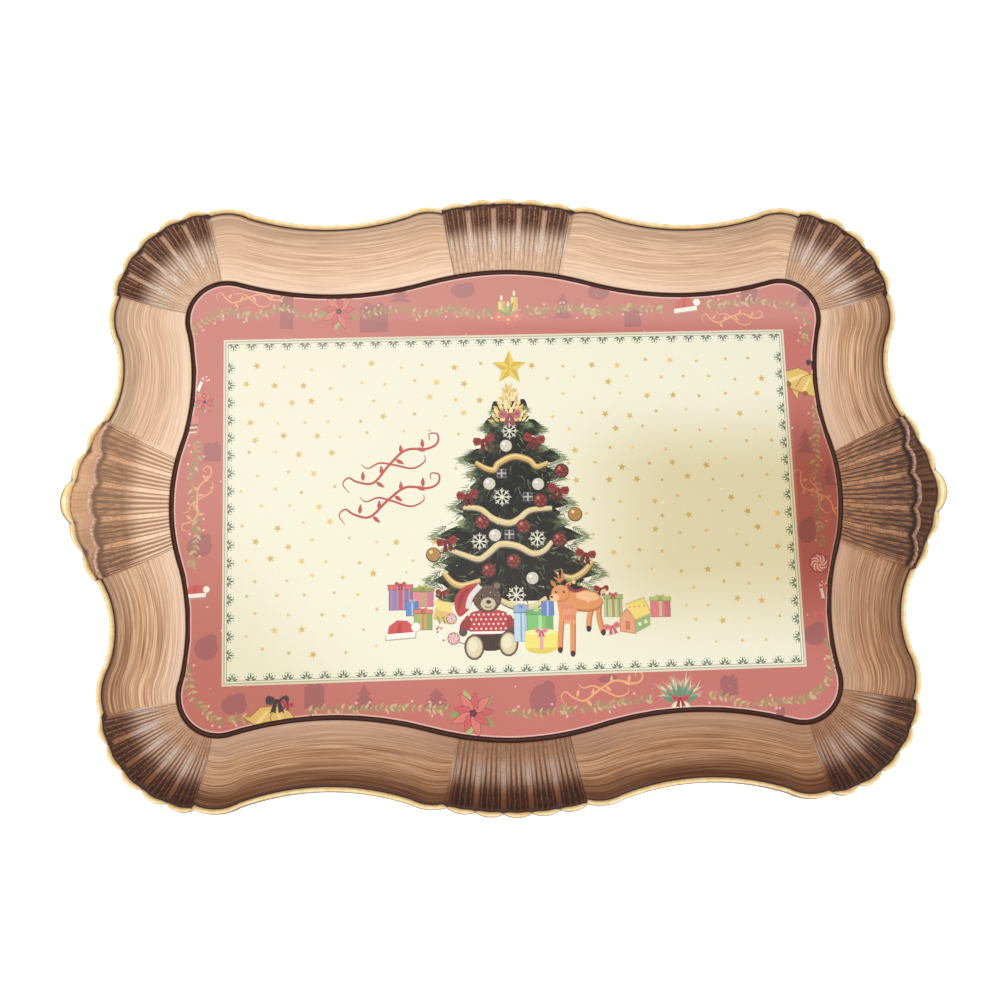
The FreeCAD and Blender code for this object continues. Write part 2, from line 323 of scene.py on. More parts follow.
def ring_mesh(name, rows, row_values, column_values, ring):
    """Closed mesh through rows of points round the rim. A ring joins its last row to its first, and any
    other mesh has a flat face inside its first and last rows. The values become corner attributes."""
    count = rows[0].shape[0]
    height = len(rows)
    points = np.concatenate(rows) * MM
    row_pairs = [(r, r + 1) for r in range(height - 1)]
    if ring:
        row_pairs.append((height - 1, 0))
    column = np.arange(count)
    following = (column + 1) % count
    quads, corner_rows, corner_columns = [], [], []
    for low, high in row_pairs:
        quads.append(np.stack([low * count + column, low * count + following,
                               high * count + following, high * count + column], 1))
        corner_rows.append(np.tile([low, low, high, high], (count, 1)))
        corner_columns.append(np.stack([column, column + 1, column + 1, column], 1))
    faces = np.concatenate(quads).tolist()
    corner_rows = np.concatenate(corner_rows).ravel()
    corner_columns = np.concatenate(corner_columns).ravel()
    if not ring:
        faces.append(list(range(count))[::-1])
        faces.append(list(range((height - 1) * count, height * count)))
        corner_rows = np.concatenate([corner_rows, np.zeros(count, int), np.full(count, height - 1)])
        corner_columns = np.concatenate([corner_columns, column[::-1], column])
    mesh = bpy.data.meshes.new(name)
    mesh.from_pydata(points.tolist(), [], faces)
    for key, values in row_values.items():
        attribute = mesh.attributes.new(key, "FLOAT", "CORNER")
        attribute.data.foreach_set("value", np.asarray(values, np.float32)[corner_rows])
    for key, values in column_values.items():
        attribute = mesh.attributes.new(key, "FLOAT", "CORNER")
        wrapped = values if len(values) > count else np.append(values, values[0])
        attribute.data.foreach_set("value", np.asarray(wrapped, np.float32)[corner_columns])
    mesh.shade_smooth()
    mesh.update()
    return mesh


def smooth(low, high, value):
    share = np.clip((value - low) / (high - low), 0.0, 1.0)
    return share * share * (3.0 - 2.0 * share)


# ---- the dish ----

RIM_FOOT_STEP = 0.5
RIM_FOOT = FLOOR_TOP + RIM_FOOT_STEP
GROOVE_FLOOR = FLOOR_TOP - 0.9
GROOVE_WIDTH = 2.0
GROOVE_DRAFT = 0.3
WALL = 2.4
RIB_PITCH = 0.4
LIP_RIB_PITCH = 0.34
TYPICAL_RIM_WIDTH = 31.0
COVE_START_SLOPE = 0.25
COVE_ROWS = 24


def cove_height(share):
    lift = COVE_START_SLOPE * share + (1.0 - COVE_START_SLOPE) * share ** 2
    return RIM_FOOT + (CREST_TOP - RIM_FOOT) * lift


def cove_slope(share):
    lift_rate = COVE_START_SLOPE + 2.0 * (1.0 - COVE_START_SLOPE) * share
    return (CREST_TOP - RIM_FOOT) * lift_rate / TYPICAL_RIM_WIDTH


def rib_wave(columns):
    """0 in the valley between two ribs and 1 on a rib: four ribs on each lobe, none beside its notches."""
    ribs = 0.5 - 0.5 * np.cos(2.0 * math.pi * columns.lobe / RIB_PITCH)
    window = 1.0 - smooth(0.78, 0.86, np.abs(columns.lobe))
    return np.where(columns.kind == PLAIN, 1.0, 1.0 - window * (1.0 - ribs))


def rib_lift(columns, share):
    """How far ribs and lobes lift the cove, at one share across it."""
    lobed = columns.kind != PLAIN
    ribs = (rib_wave(columns) - 1.0) * (0.25 + 0.30 * share)
    lobes = (1.0 - columns.lobe ** 2) * 0.9 * share ** 1.5 - 0.7 * share
    return np.where(lobed, ribs + lobes, 0.0)


def lip_rib_lift(columns, share):
    """Three short ribs across the lip of each handle lobe, which fade before the edge."""
    ribs = 0.5 + 0.5 * np.cos(2.0 * math.pi * columns.lobe / LIP_RIB_PITCH)
    window = (1.0 - smooth(0.46, 0.56, np.abs(columns.lobe))) * smooth(0.0, 0.15, share) * (1.0 - share ** 4)
    return columns.handle * window * (ribs - 0.5) * 1.1


def raised(flat, heights):
    heights = np.broadcast_to(heights, (flat.shape[0],))
    return np.column_stack([flat, heights])


def dish_rows():
    """Rows of points from the floor's edge over the rim and back under it, and where each is across it:
    0 is the rim's foot, 1 its crest, 1.1 to 1.6 the lip, 2 the edge, and 3 and over the underside."""
    columns = COLUMNS
    rows, across = [], []

    def add(place, heights, where):
        rows.append(raised(columns.contour(place), heights))
        across.append(where)

    add((0.0, 0.0, -GROOVE_WIDTH - GROOVE_DRAFT), FLOOR_TOP, -0.3)
    add((0.0, 0.0, -GROOVE_WIDTH), GROOVE_FLOOR, -0.2)
    add((0.0, 0.0, -0.5), GROOVE_FLOOR, -0.1)
    add((0.0, 0.0, -0.1), RIM_FOOT - RIM_FOOT_STEP, -0.02)
    add((0.0, 0.0, 0.25), RIM_FOOT, 0.0)
    for row in range(1, COVE_ROWS + 1):
        share = row / COVE_ROWS
        add((share, 0.0, 0.0), cove_height(share) + rib_lift(columns, share) * min(1.0, share * 4.0), share)
    ridge = columns.handle * 0.9
    add((1.0, 0.0, 0.7), CREST_TOP + 0.10 + ridge + rib_lift(columns, 1.0) * 0.5, 1.04)
    for step in (0.14, 0.22, 0.36, 0.5, 0.64, 0.78, 0.9, 1.0):
        sag = LEDGE_TOP + 0.1 - 0.5 * columns.handle * math.sin(math.pi * step) ** 2
        add((1.0, step, -BEAD_WIDTH * step + 0.7 * (1.0 - step)), sag + lip_rib_lift(columns, step),
            1.1 + 0.5 * step)
    add((1.0, 1.0, -0.15), LEDGE_TOP, 1.9)
    add((1.0, 1.0, 0.0), LEDGE_TOP - 0.2, 2.0)
    add((1.0, 1.0, -0.3), LEDGE_TOP - 1.6, 2.2)
    add((1.0, 1.0, -1.2), LEDGE_TOP - 1.7, 2.4)
    for share in (1.0, 0.75, 0.5, 0.25, 0.0):
        slope = cove_slope(share)
        run = math.hypot(1.0, slope)
        add((share, 0.0, WALL * slope / run), cove_height(share) - WALL / run, 3.0)
    ring_inside = FOOT_RING_INSET + FOOT_RING_WIDTH
    for inset, height, where in (
            (FOOT_RING_INSET - 0.7, FOOT_RING_HEIGHT, 3.2), (FOOT_RING_INSET - 0.2, FOOT_RING_ROUNDING, 3.3),
            (FOOT_RING_INSET, 0.0, 3.3), (ring_inside, 0.0, 3.3),
            (ring_inside + 0.2, FOOT_RING_ROUNDING, 3.3), (ring_inside + 0.7, FOOT_RING_HEIGHT, 3.2)):
        add((0.0, 0.0, -inset), height, where)
    return rows, across


def make_dish(material):
    rows, across = dish_rows()
    columns = COLUMNS
    values = {
        "rim_along": columns.along,
        "fluted": columns.fluted,
        "handle": columns.handle,
        "lobe_edge": np.abs(columns.lobe),
        "rib": rib_wave(columns),
        "join": columns.join,
    }
    mesh = ring_mesh("tray_dish", rows, {"rim_across": across}, values, ring=False)
    dish = link(mesh, "tray_dish", material)
    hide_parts("tray_shell")
    return dish


# ---- the gilt bead ----

def make_bead(material):
    """Half-round bead that thins to almost nothing at every notch."""
    columns = COLUMNS
    fullness = 1.0 - 0.85 * np.abs(columns.lobe) ** 3.0
    off_axis = np.abs(columns.contour((1.0, 1.0, 0.0))[:, 1])
    swell = columns.handle * (1.0 - smooth(0.0, TIP_SWELL_REACH, off_axis))
    edge = columns.contour((1.0, 1.0, -BEAD_INSET))
    inner = columns.contour((1.0, 1.0, -BEAD_INSET - BEAD_WIDTH))
    inward = (inner - edge) / BEAD_WIDTH
    rows, across = [], []
    for step in range(BEAD_STEPS + 1):
        angle = math.pi * step / BEAD_STEPS
        width = (BEAD_WIDTH * fullness + TIP_SWELL * swell)[:, None]
        point = edge + inward * width * (1.0 - math.cos(angle)) / 2.0
        lift = (TOP - LEDGE_TOP) * fullness * math.sin(angle)
        rows.append(raised(point, LEDGE_TOP - BEAD_SINK + lift))
        across.append(step / BEAD_STEPS)
    mesh = ring_mesh("gilt_edge", rows, {"rim_across": across},
                     {"rim_along": columns.along, "lobe_edge": np.abs(columns.lobe)}, ring=True)
    bead = link(mesh, "gilt_edge", material)
    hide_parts("gilt_bead")
    return bead


# ---- shader helper ----

def srgb(red, green, blue):
    """Scene-linear colour from 0-255 display values."""
    def linear(value):
        value = value / 255.0
        return value / 12.92 if value <= 0.04045 else ((value + 0.055) / 1.055) ** 2.4
    return linear(red), linear(green), linear(blue), 1.0


class Shader:
    """Short calls for building one material's node tree."""

    def __init__(self, name):
        self.material = bpy.data.materials.new(name)
        self.material.use_nodes = True
        self.tree = self.material.node_tree
        self.surface = self.tree.nodes["Principled BSDF"]

    def node(self, kind, **settings):
        made = self.tree.nodes.new(kind)
        for key, value in settings.items():
            setattr(made, key, value)
        return made

    def feed(self, socket, value):
        if isinstance(value, bpy.types.NodeSocket):
            self.tree.links.new(value, socket)
        else:
            socket.default_value = value

    def attribute(self, name, output="Fac"):
        return self.node("ShaderNodeAttribute", attribute_name=name).outputs[output]

    def math(self, operation, first, second=0.0, third=0.0):
        made = self.node("ShaderNodeMath", operation=operation)
        for socket, value in zip(made.inputs, (first, second, third)):
            self.feed(socket, value)
        return made.outputs[0]

    def times(self, first, second):
        return self.math("MULTIPLY", first, second)

    def ramp(self, value, low, high, start=0.0, end=1.0):
        """Smooth step from start to end as the value goes from low to high."""
        made = self.node("ShaderNodeMapRange", interpolation_type="SMOOTHSTEP")
        for key, number in (("Value", value), ("From Min", low), ("From Max", high),
                            ("To Min", start), ("To Max", end)):
            self.feed(made.inputs[key], number)
        return made.outputs[0]

    def vector(self, x, y, z=0.0):
        made = self.node("ShaderNodeCombineXYZ")
        for socket, value in zip(made.inputs, (x, y, z)):
            self.feed(socket, value)
        return made.outputs[0]

    def split(self, vector):
        made = self.node("ShaderNodeSeparateXYZ")
        self.feed(made.inputs[0], vector)
        return made.outputs

    def noise(self, vector, scale=1.0, detail=2.0, roughness=0.5, output="Fac"):
        made = self.node("ShaderNodeTexNoise")
        self.feed(made.inputs["Vector"], vector)
        made.inputs["Scale"].default_value = scale
        made.inputs["Detail"].default_value = detail
        made.inputs["Roughness"].default_value = roughness
        return made.outputs[output]

    def grain(self, along, across, along_scale, across_scale, seed=0.0, detail=3.0, roughness=0.6):
        """Noise in the rim's own directions, drawn out in the one with the smaller scale."""
        place = self.vector(self.times(along, along_scale), self.times(across, across_scale), seed)
        return self.noise(place, 1.0, detail, roughness)

    def mix(self, share, first, second, blend="MIX"):
        made = self.node("ShaderNodeMix", data_type="RGBA", blend_type=blend)
        colours = [socket for socket in made.inputs if socket.type == "RGBA"]
        self.feed(made.inputs[0], share)
        self.feed(colours[0], first)
        self.feed(colours[1], second)
        return [socket for socket in made.outputs if socket.type == "RGBA"][0]

    def tinted(self, share, colour, tint):
        """The colour multiplied by a tint, by as much as the share says."""
        return self.mix(share, colour, self.mix(1.0, colour, tint, "MULTIPLY"))

    def object_place(self):
        return self.node("ShaderNodeTexCoord").outputs["Object"]

    def bump(self, height, strength, distance_mm):
        made = self.node("ShaderNodeBump")
        made.inputs["Strength"].default_value = strength
        made.inputs["Distance"].default_value = distance_mm * MM
        self.feed(made.inputs["Height"], height)
        self.feed(self.surface.inputs["Normal"], made.outputs[0])

    def finish(self, colour, roughness, **constants):
        self.feed(self.surface.inputs["Base Color"], colour)
        self.feed(self.surface.inputs["Roughness"], roughness)
        for key, value in constants.items():
            self.surface.inputs[key.replace("_", " ")].default_value = value
        return self.material


# ---- the printed picture ----
# It is drawn as flat shapes in millimetres on the tray's floor, each painted over the ones before it.

SHEET_INSET = 2.6
FIELD_CENTRE = (0.8, -1.5)
FIELD_HALF_WIDTH = 148.4
FIELD_HALF_HEIGHT = 88.7
FIELD_TURN = 0.75

BORDER_RED = (196, 114, 105)
GHOST_MAUVE = (166, 98, 98)
EDGE_PINK = (226, 180, 168)
FIELD_CREAM = (238, 235, 212)
FRAME_OLIVE = (176, 172, 144)
SPRIG_GREEN = (84, 106, 82)
GOLD = (224, 188, 108)
PALE_GOLD = (240, 214, 146)
BRIGHT_GOLD = (232, 204, 92)
WHITE = (246, 240, 232)
RIBBON_RED = (150, 52, 50)
BALL_RED = (116, 44, 40)
INK_DARK = (58, 44, 42)
FIR_DARK = (14, 16, 12)
FIR_SHADES = ((36, 42, 28), (58, 68, 44), (92, 106, 70), (134, 144, 104))
LEAF_TANS = ((180, 158, 112), (162, 140, 98), (198, 178, 130))
LEAF_GREENS = ((140, 156, 92), (172, 182, 118))
PETAL_PINKS = ((206, 96, 96), (218, 122, 114))


def placed(points, place, turn=0.0, size=1.0):
    """A shape drawn round the origin, made larger, turned by degrees and moved to its place."""
    cosine = math.cos(math.radians(turn)) * size
    sine = math.sin(math.radians(turn)) * size
    return [(place[0] + x * cosine - y * sine, place[1] + x * sine + y * cosine) for x, y in points]


def oval(half_width, half_height, sides=14):
    angles = [2.0 * math.pi * side / sides for side in range(sides)]
    return [(half_width * math.cos(angle), half_height * math.sin(angle)) for angle in angles]


def box_outline(width, height):
    return [(-width / 2, -height / 2), (width / 2, -height / 2), (width / 2, height / 2),
            (-width / 2, height / 2)]


def spike(length, half_width):
    return [(0.0, -half_width), (length, 0.0), (0.0, half_width)]


def smooth_line(points, steps=6):
    """A curve through all the points, as a dense line."""
    ends = [points[0]] + list(points) + [points[-1]]
    line = []
    for a, b, c, d in zip(ends, ends[1:], ends[2:], ends[3:]):
        for step in range(steps):
            t = step / steps
            line.append(tuple(
                0.5 * (2 * q + (r - p) * t + (2 * p - 5 * q + 4 * r - s) * t * t
                       + (3 * q - p - 3 * r + s) * t ** 3)
                for p, q, r, s in zip(a, b, c, d)))
    return line + [points[-1]]


def on_field(x, y):
    """A point of the cream field, which was printed slightly turned."""
    return placed([(x, y)], FIELD_CENTRE, FIELD_TURN)[0]


def darker(colour, share):
    return tuple(int(channel * share) for channel in colour)


class Picture:
    """Flat coloured shapes in the order in which they are painted."""

    def __init__(self):
        self.shapes = []
        self.colours = []

    def shape(self, points, colour):
        """A filled outline. One that is almost a line is left out."""
        following = points[1:] + points[:1]
        twice_area = sum(a[0] * b[1] - b[0] * a[1] for a, b in zip(points, following))
        if abs(twice_area) > 0.01:
            self.shapes.append(points if twice_area > 0.0 else points[::-1])
            self.colours.append(colour)

    def disc(self, place, radius, colour, height=None, turn=0.0, sides=14):
        self.shape(placed(oval(radius, height or radius, sides), place, turn), colour)

    def block(self, place, width, height, colour, turn=0.0):
        self.shape(placed(box_outline(width, height), place, turn), colour)

    def ribbon(self, points, width, colour, taper=0.0, steps=6):
        """A band along a smooth curve. Taper is the share of its width that it loses towards both ends."""
        line = smooth_line(points, steps)
        sides = []
        last = len(line) - 1
        for index, (x, y) in enumerate(line):
            before = line[max(0, index - 1)]
            after = line[min(last, index + 1)]
            length = math.dist(before, after)
            half = 0.5 * width * (1.0 - taper * (2.0 * index / last - 1.0) ** 2) / length
            dx, dy = (after[0] - before[0]) * half, (after[1] - before[1]) * half
            sides.append(((x - dy, y + dx), (x + dy, y - dx)))
        for (a, b), (c, d) in zip(sides, sides[1:]):
            self.shape([a, b, d], colour)
            self.shape([a, d, c], colour)

    def leaf(self, base, length, turn, width, colour, vein=None):
        steps = 4
        upper = [(length * t / steps, width * math.sin(math.pi * (t / steps) ** 0.8) / 2)
                 for t in range(steps + 1)]
        lower = [(x, -y) for x, y in upper[-2:0:-1]]
        self.shape(placed(upper + lower, base, turn), colour)
        if vein:
            self.shape(placed(spike(length * 0.8, 0.13), base, turn), vein)

    def star(self, place, radius, colour, shade=None, turn=90.0):
        corners = [on_circle((0.0, 0.0), radius * (1.0 if k % 2 == 0 else 0.45), 36.0 * k) for k in range(10)]
        self.shape(placed(corners, place, turn), colour)
        if shade:
            for k in range(0, 10, 2):
                self.shape(placed([(0.0, 0.0), corners[k], corners[k + 1]], place, turn), shade)

    def needles(self, base, turn, length, spread, count, shades):
        """A spray of fir needles along a twig."""
        for index in range(count):
            share = (index + 0.5) / count
            root = placed([(length * share * 0.85, 0.0)], base, turn)[0]
            side = 1.0 if index % 2 else -1.0
            lean = turn + side * spread * (1.0 - 0.6 * share) + RNG.uniform(-9.0, 9.0)
            reach = length * RNG.uniform(0.30, 0.48)
            shade = shades[min(len(shades) - 1, int(len(shades) * (share * 0.8 + RNG.uniform(0.0, 0.35))))]
            self.shape(placed(spike(reach, 0.28), root, lean), shade)

    def bow(self, place, size, colour, shade, turn=0.0):
        loop = [(0.0, 0.0), (0.35, 0.38), (0.8, 0.5), (1.0, 0.2), (0.92, -0.25), (0.5, -0.3)]
        for side in (1.0, -1.0):
            mirrored_loop = [(x * side, y) for x, y in loop]
            tail = [(0.0, 0.1), (0.12 * side, -1.0), (0.4 * side, -0.85), (0.62 * side, -1.05),
                    (0.3 * side, 0.0)]
            self.shape(placed(tail, place, turn, size), shade)
            self.shape(placed(mirrored_loop, place, turn, size), colour)
            fold = [(0.15 * side, 0.02), (0.8 * side, 0.22), (0.78 * side, 0.02)]
            self.shape(placed(fold, place, turn, size), shade)
        self.disc(place, size * 0.2, shade, sides=8)

    def ball(self, place, radius, colour, light, spots=None):
        self.disc(place, radius, INK_DARK)
        self.disc((place[0], place[1] + radius * 0.04), radius * 0.9, colour)
        if spots:
            for k in range(7):
                self.disc(on_circle(place, radius * (0.62 if k else 0.0), 60.0 * k), radius * 0.14, spots,
                          sides=5)
        self.disc((place[0] - radius * 0.3, place[1] + radius * 0.35), radius * 0.24, light, sides=8)

    def snowflake(self, place, radius, colour, arms=8):
        for arm in range(arms):
            turn = 360.0 * arm / arms
            self.shape(placed([(0.0, -0.06), (1.0, -0.05), (1.0, 0.05), (0.0, 0.06)], place, turn, radius),
                       colour)
            for lean in (42.0, -42.0):
                fork = placed([(0.55 * radius, 0.0)], place, turn)[0]
                self.shape(placed([(0.0, -0.05), (0.34, -0.05), (0.34, 0.05), (0.0, 0.05)], fork, turn + lean,
                                  radius), colour)
        self.disc(place, radius * 0.2, colour, sides=8)

    def gift(self, place, width, height, wrap, ribbon, lid=None, turn=0.0):
        """A box with an upright ribbon, a shaded right side, a small bow and perhaps an outlined lid."""
        x, y = place
        self.block(place, width + 0.5, height + 0.5, darker(wrap, 0.72), turn)
        self.block(place, width, height, wrap, turn)
        self.shape(placed([(width * 0.22, -height / 2), (width / 2, -height / 2), (width / 2, height / 2),
                           (width * 0.22, height / 2)], place, turn), darker(wrap, 0.9))
        self.block(place, width * 0.14, height, ribbon, turn)
        if lid:
            self.block((x, y + height * 0.46), width * 1.14, height * 0.24, darker(lid, 0.8), turn)
            self.block((x, y + height * 0.47), width * 1.08, height * 0.18, lid, turn)
        self.bow((x, y + height * 0.58), width * 0.26, ribbon, darker(ribbon, 0.78))

    def scroll(self, place, turn, size, colour):
        """A letter-free flourish: a long wave with curled ends, a second shorter one, and small leaves."""
        wave = [(-1.0, -0.18), (-1.06, 0.02), (-0.92, 0.1), (-0.78, -0.04), (-0.5, -0.16), (-0.1, 0.06),
                (0.3, 0.22), (0.7, 0.1), (0.92, 0.14), (0.98, 0.3), (0.84, 0.36), (0.8, 0.24)]
        self.ribbon(placed(wave, place, turn, size), 0.05 * size, colour, 0.75)
        short = [(-0.6, 0.26), (-0.5, 0.14), (-0.26, 0.16), (0.0, 0.02), (0.3, -0.16), (0.56, -0.12),
                 (0.6, 0.0)]
        self.ribbon(placed(short, place, turn, size), 0.04 * size, colour, 0.75)
        for along, up, lean in (
                (-0.45, -0.16, -55.0), (-0.3, -0.08, 75.0), (0.05, 0.12, -50.0), (0.2, 0.17, 80.0),
                (0.5, 0.19, -40.0), (0.62, 0.14, 75.0), (-0.68, -0.06, 70.0)):
            base = placed([(along, up)], place, turn, size)[0]
            self.leaf(base, 0.2 * size, turn + lean, 0.08 * size, colour)

    def garland(self, points, leaves=LEAF_TANS):
        """A vine of small paired leaves, with a berry here and there."""
        leaf_spacing = 1.75
        berry_share = 0.3
        line = smooth_line(points, 8)
        self.ribbon(points, 0.45, leaves[1])
        travelled = 0.0
        for (ax, ay), (bx, by) in zip(line, line[1:]):
            travelled += math.dist((ax, ay), (bx, by))
            if travelled < leaf_spacing:
                continue
            travelled = 0.0
            heading = math.degrees(math.atan2(by - ay, bx - ax))
            for side in (1.0, -1.0):
                lean = heading + side * RNG.uniform(30.0, 75.0)
                length = RNG.uniform(2.2, 4.0)
                self.leaf((bx, by), length, lean, length * 0.42, RNG.choice(leaves))
            if RNG.random() < berry_share:
                self.disc(on_circle((bx, by), 3.4, heading + RNG.choice((90.0, -90.0))), 0.7, EDGE_PINK,
                          sides=7)

    def poinsettia(self, place, radius, turn=0.0):
        for k in range(5):
            lean = turn + 36.0 + 72.0 * k
            self.leaf(place, radius * 1.02, lean, radius * 0.42, LEAF_GREENS[k % 2], SPRIG_GREEN)
        for k in range(9):
            lean = turn + 40.0 * k
            reach = radius * (0.95 if k % 2 else 0.8)
            self.leaf(place, reach + 0.4, lean, radius * 0.36 + 0.5, (142, 54, 62))
            self.leaf(place, reach, lean, radius * 0.36, PETAL_PINKS[k % 2], (112, 44, 60))
        for k in range(5):
            self.disc(on_circle(place, radius * 0.1, 72.0 * k), radius * 0.07, (84, 48, 60), sides=6)

    def bell(self, place, size, turn, colour=GOLD):
        body = [(-0.75, -0.5), (-0.5, -0.35), (-0.38, 0.2), (0.0, 0.5), (0.38, 0.2), (0.5, -0.35),
                (0.75, -0.5)]
        self.shape(placed(body, place, turn, size * 1.08), (150, 104, 52))
        self.shape(placed(body, place, turn, size), colour)
        self.shape(placed([(-0.2, -0.4), (-0.08, 0.25), (0.02, 0.3), (-0.02, -0.4)], place, turn, size),
                   PALE_GOLD)
        self.disc(placed([(0.0, -0.52)], place, turn, size)[0], size * 0.14, (150, 104, 52), sides=8)

    def winter_hat(self, place, size, turn=0.0):
        crown = [(-0.9, -0.4), (-0.75, 0.15), (-0.2, 0.5), (0.45, 0.42), (0.95, -0.1), (0.75, -0.4)]
        self.shape(placed(crown, place, turn, size), (206, 84, 80))
        self.shape(placed([(-0.3, -0.4), (-0.1, 0.3), (0.1, 0.3), (0.0, -0.4)], place, turn, size),
                   (180, 66, 66))
        brim = [(-1.0, -0.7), (0.9, -0.7), (0.95, -0.35), (-0.95, -0.35)]
        bobble = placed([(1.0, -0.05)], place, turn, size)[0]
        self.shape(placed(brim, (place[0], place[1] - 0.3), turn, size * 1.06), FRAME_OLIVE)
        self.disc(bobble, size * 0.34, FRAME_OLIVE, sides=10)
        self.shape(placed(brim, place, turn, size), WHITE)
        self.disc(bobble, size * 0.3, WHITE, sides=10)

    def cane(self, place, size, turn=0.0):
        hook = placed([(0.0, -1.0), (0.0, 0.3), (0.15, 0.65), (0.45, 0.7), (0.65, 0.4)], place, turn, size)
        self.ribbon(hook, 0.3 * size, WHITE)
        for point in smooth_line(hook, 2)[::2]:
            self.disc(point, 0.16 * size, (206, 84, 84), sides=6)

    def ghost(self, place, width, height, kind):
        """A faint silhouette in the border."""
        if kind == "gift":
            self.block(place, width, height, GHOST_MAUVE)
            self.bow((place[0], place[1] + height / 2), width * 0.35, GHOST_MAUVE, GHOST_MAUVE)
        elif kind == "tree":
            for step in range(3):
                wide = width * (0.35 + 0.15 * step)
                low = place[1] + height * (0.1 - 0.3 * step)
                self.shape([(place[0] - wide, low), (place[0] + wide, low), (place[0], low + height * 0.42)],
                           GHOST_MAUVE)
        else:
            self.disc(place, width / 2, GHOST_MAUVE, height / 2)
            self.disc((place[0] + width * 0.2, place[1] + height * 0.35), width / 4, GHOST_MAUVE, height / 4)


# ---- border of the picture ----

def paint_border(picture):
    for place, width, height, kind in (
            ((-117.0, 101.5), 7.0, 19.0, "gift"), ((-71.0, 97.0), 15.0, 14.0, "gift"),
            ((-57.0, 111.0), 10.0, 9.0, "tree"), ((-23.5, 112.5), 13.0, 8.0, "ball"),
            ((30.0, 104.0), 9.0, 14.0, "tree"), ((49.5, 111.5), 12.0, 9.0, "ball"),
            ((67.5, 96.5), 9.0, 9.0, "gift"), ((131.5, 109.0), 9.0, 8.0, "gift"),
            ((161.0, 107.0), 8.0, 9.0, "ball"), ((-141.0, -102.5), 13.0, 10.0, "ball"),
            ((-101.0, -99.5), 10.0, 11.0, "gift"), ((-76.0, -100.0), 10.0, 12.0, "tree"),
            ((-39.5, -101.0), 12.0, 9.0, "tree"), ((14.5, -103.0), 14.0, 16.0, "ball"),
            ((48.0, -93.5), 10.0, 4.0, "ball"), ((110.5, -98.5), 9.0, 9.0, "gift"),
            ((136.5, -112.0), 5.0, 5.0, "ball"), ((-160.0, -22.5), 13.0, 11.0, "ball"),
            ((-154.5, 26.0), 9.0, 9.0, "gift"), ((-155.5, -74.0), 12.0, 12.0, "ball"),
            ((157.5, 29.0), 8.0, 13.0, "tree"), ((169.0, 10.5), 7.0, 11.0, "tree"),
            ((155.5, -19.0), 10.0, 13.0, "ball"), ((156.5, -73.0), 12.0, 11.0, "ball")):
        picture.ghost(place, width, height, kind)
    for route in (
            [(-167.0, 84.0), (-164.0, 93.0), (-155.0, 99.0), (-146.0, 102.0), (-137.0, 99.0), (-127.0, 101.0),
             (-118.0, 104.0), (-108.0, 98.5), (-100.0, 99.5)],
            [(-79.0, 99.0), (-68.0, 101.5), (-57.0, 102.5), (-44.0, 99.5), (-30.0, 102.0), (-16.0, 99.5),
             (-8.0, 101.0)],
            [(9.0, 100.0), (22.0, 101.5), (36.0, 102.5), (50.0, 100.5), (64.0, 102.5), (84.0, 101.5)],
            [(106.0, 105.5), (117.0, 103.5), (129.0, 106.0), (141.0, 105.0), (154.0, 102.5), (162.0, 94.0),
             (160.0, 82.0)],
            [(-164.5, 34.0), (-162.0, 26.0), (-165.0, 12.0), (-162.5, -1.0), (-161.5, -14.0),
             (-164.0, -33.0)],
            [(-165.0, -80.0), (-163.0, -94.0), (-157.0, -104.0), (-149.0, -109.5), (-136.0, -108.5)],
            [(-106.0, -106.5), (-94.0, -105.5), (-80.0, -106.0), (-61.0, -105.5), (-47.0, -106.0),
             (-34.0, -107.0)],
            [(-6.0, -107.5), (4.0, -110.0), (16.0, -109.0), (30.0, -108.0), (44.0, -107.0), (60.0, -104.5),
             (70.0, -104.0)],
            [(98.0, -103.0), (108.0, -103.5), (119.0, -107.5), (134.0, -106.5), (150.0, -105.0),
             (161.5, -97.0), (164.5, -87.0), (163.5, -76.0)],
            [(163.0, 51.0), (164.0, 35.0), (162.0, 14.0), (163.0, 0.0), (163.0, -18.0), (164.0, -27.0)]):
        picture.garland(route)
    for place, turn, size in (
            ((-136.0, 108.0), -8.0, 17.0), ((122.0, 96.0), -5.0, 16.0), ((46.0, -99.5), 6.0, 21.0),
            ((-160.0, 2.0), 62.0, 17.0), ((162.5, -1.0), -52.0, 17.0)):
        picture.scroll(place, turn, size, (232, 172, 120))
    picture.poinsettia((-89.5, 101.5), 10.5, 10.0)
    picture.poinsettia((-21.0, -109.0), 12.5, 4.0)
    picture.poinsettia((-159.0, 53.0), 6.0, 20.0)
    paint_candles(picture)
    picture.winter_hat((96.0, 105.0), 6.5, 8.0)
    picture.winter_hat((-161.5, -44.5), 5.5, 4.0)
    picture.bell((156.0, 63.0), 13.0, -62.0)
    picture.bell((161.0, 60.0), 11.0, -20.0)
    picture.bow((164.5, 72.0), 4.2, (92, 74, 76), INK_DARK, 15.0)
    picture.bell((-125.5, -108.5), 12.0, -34.0)
    picture.bell((-117.5, -109.0), 12.0, 26.0)
    picture.bow((-119.5, -101.0), 6.0, (70, 58, 66), INK_DARK)
    picture.bow((-114.5, -102.5), 3.4, (190, 76, 84), (140, 54, 62), -20.0)
    paint_pine_sprig(picture, (85.0, -107.5))
    picture.cane((-161.0, 63.0), 5.0, -20.0)
    paint_stocking(picture, (-164.5, 41.0), 6.0)
    paint_sweet(picture, (161.0, -36.0), 5.2)
    picture.cane((161.5, -50.0), 5.0, 10.0)
    picture.bow((159.5, -62.0), 2.6, PETAL_PINKS[1], PETAL_PINKS[0])


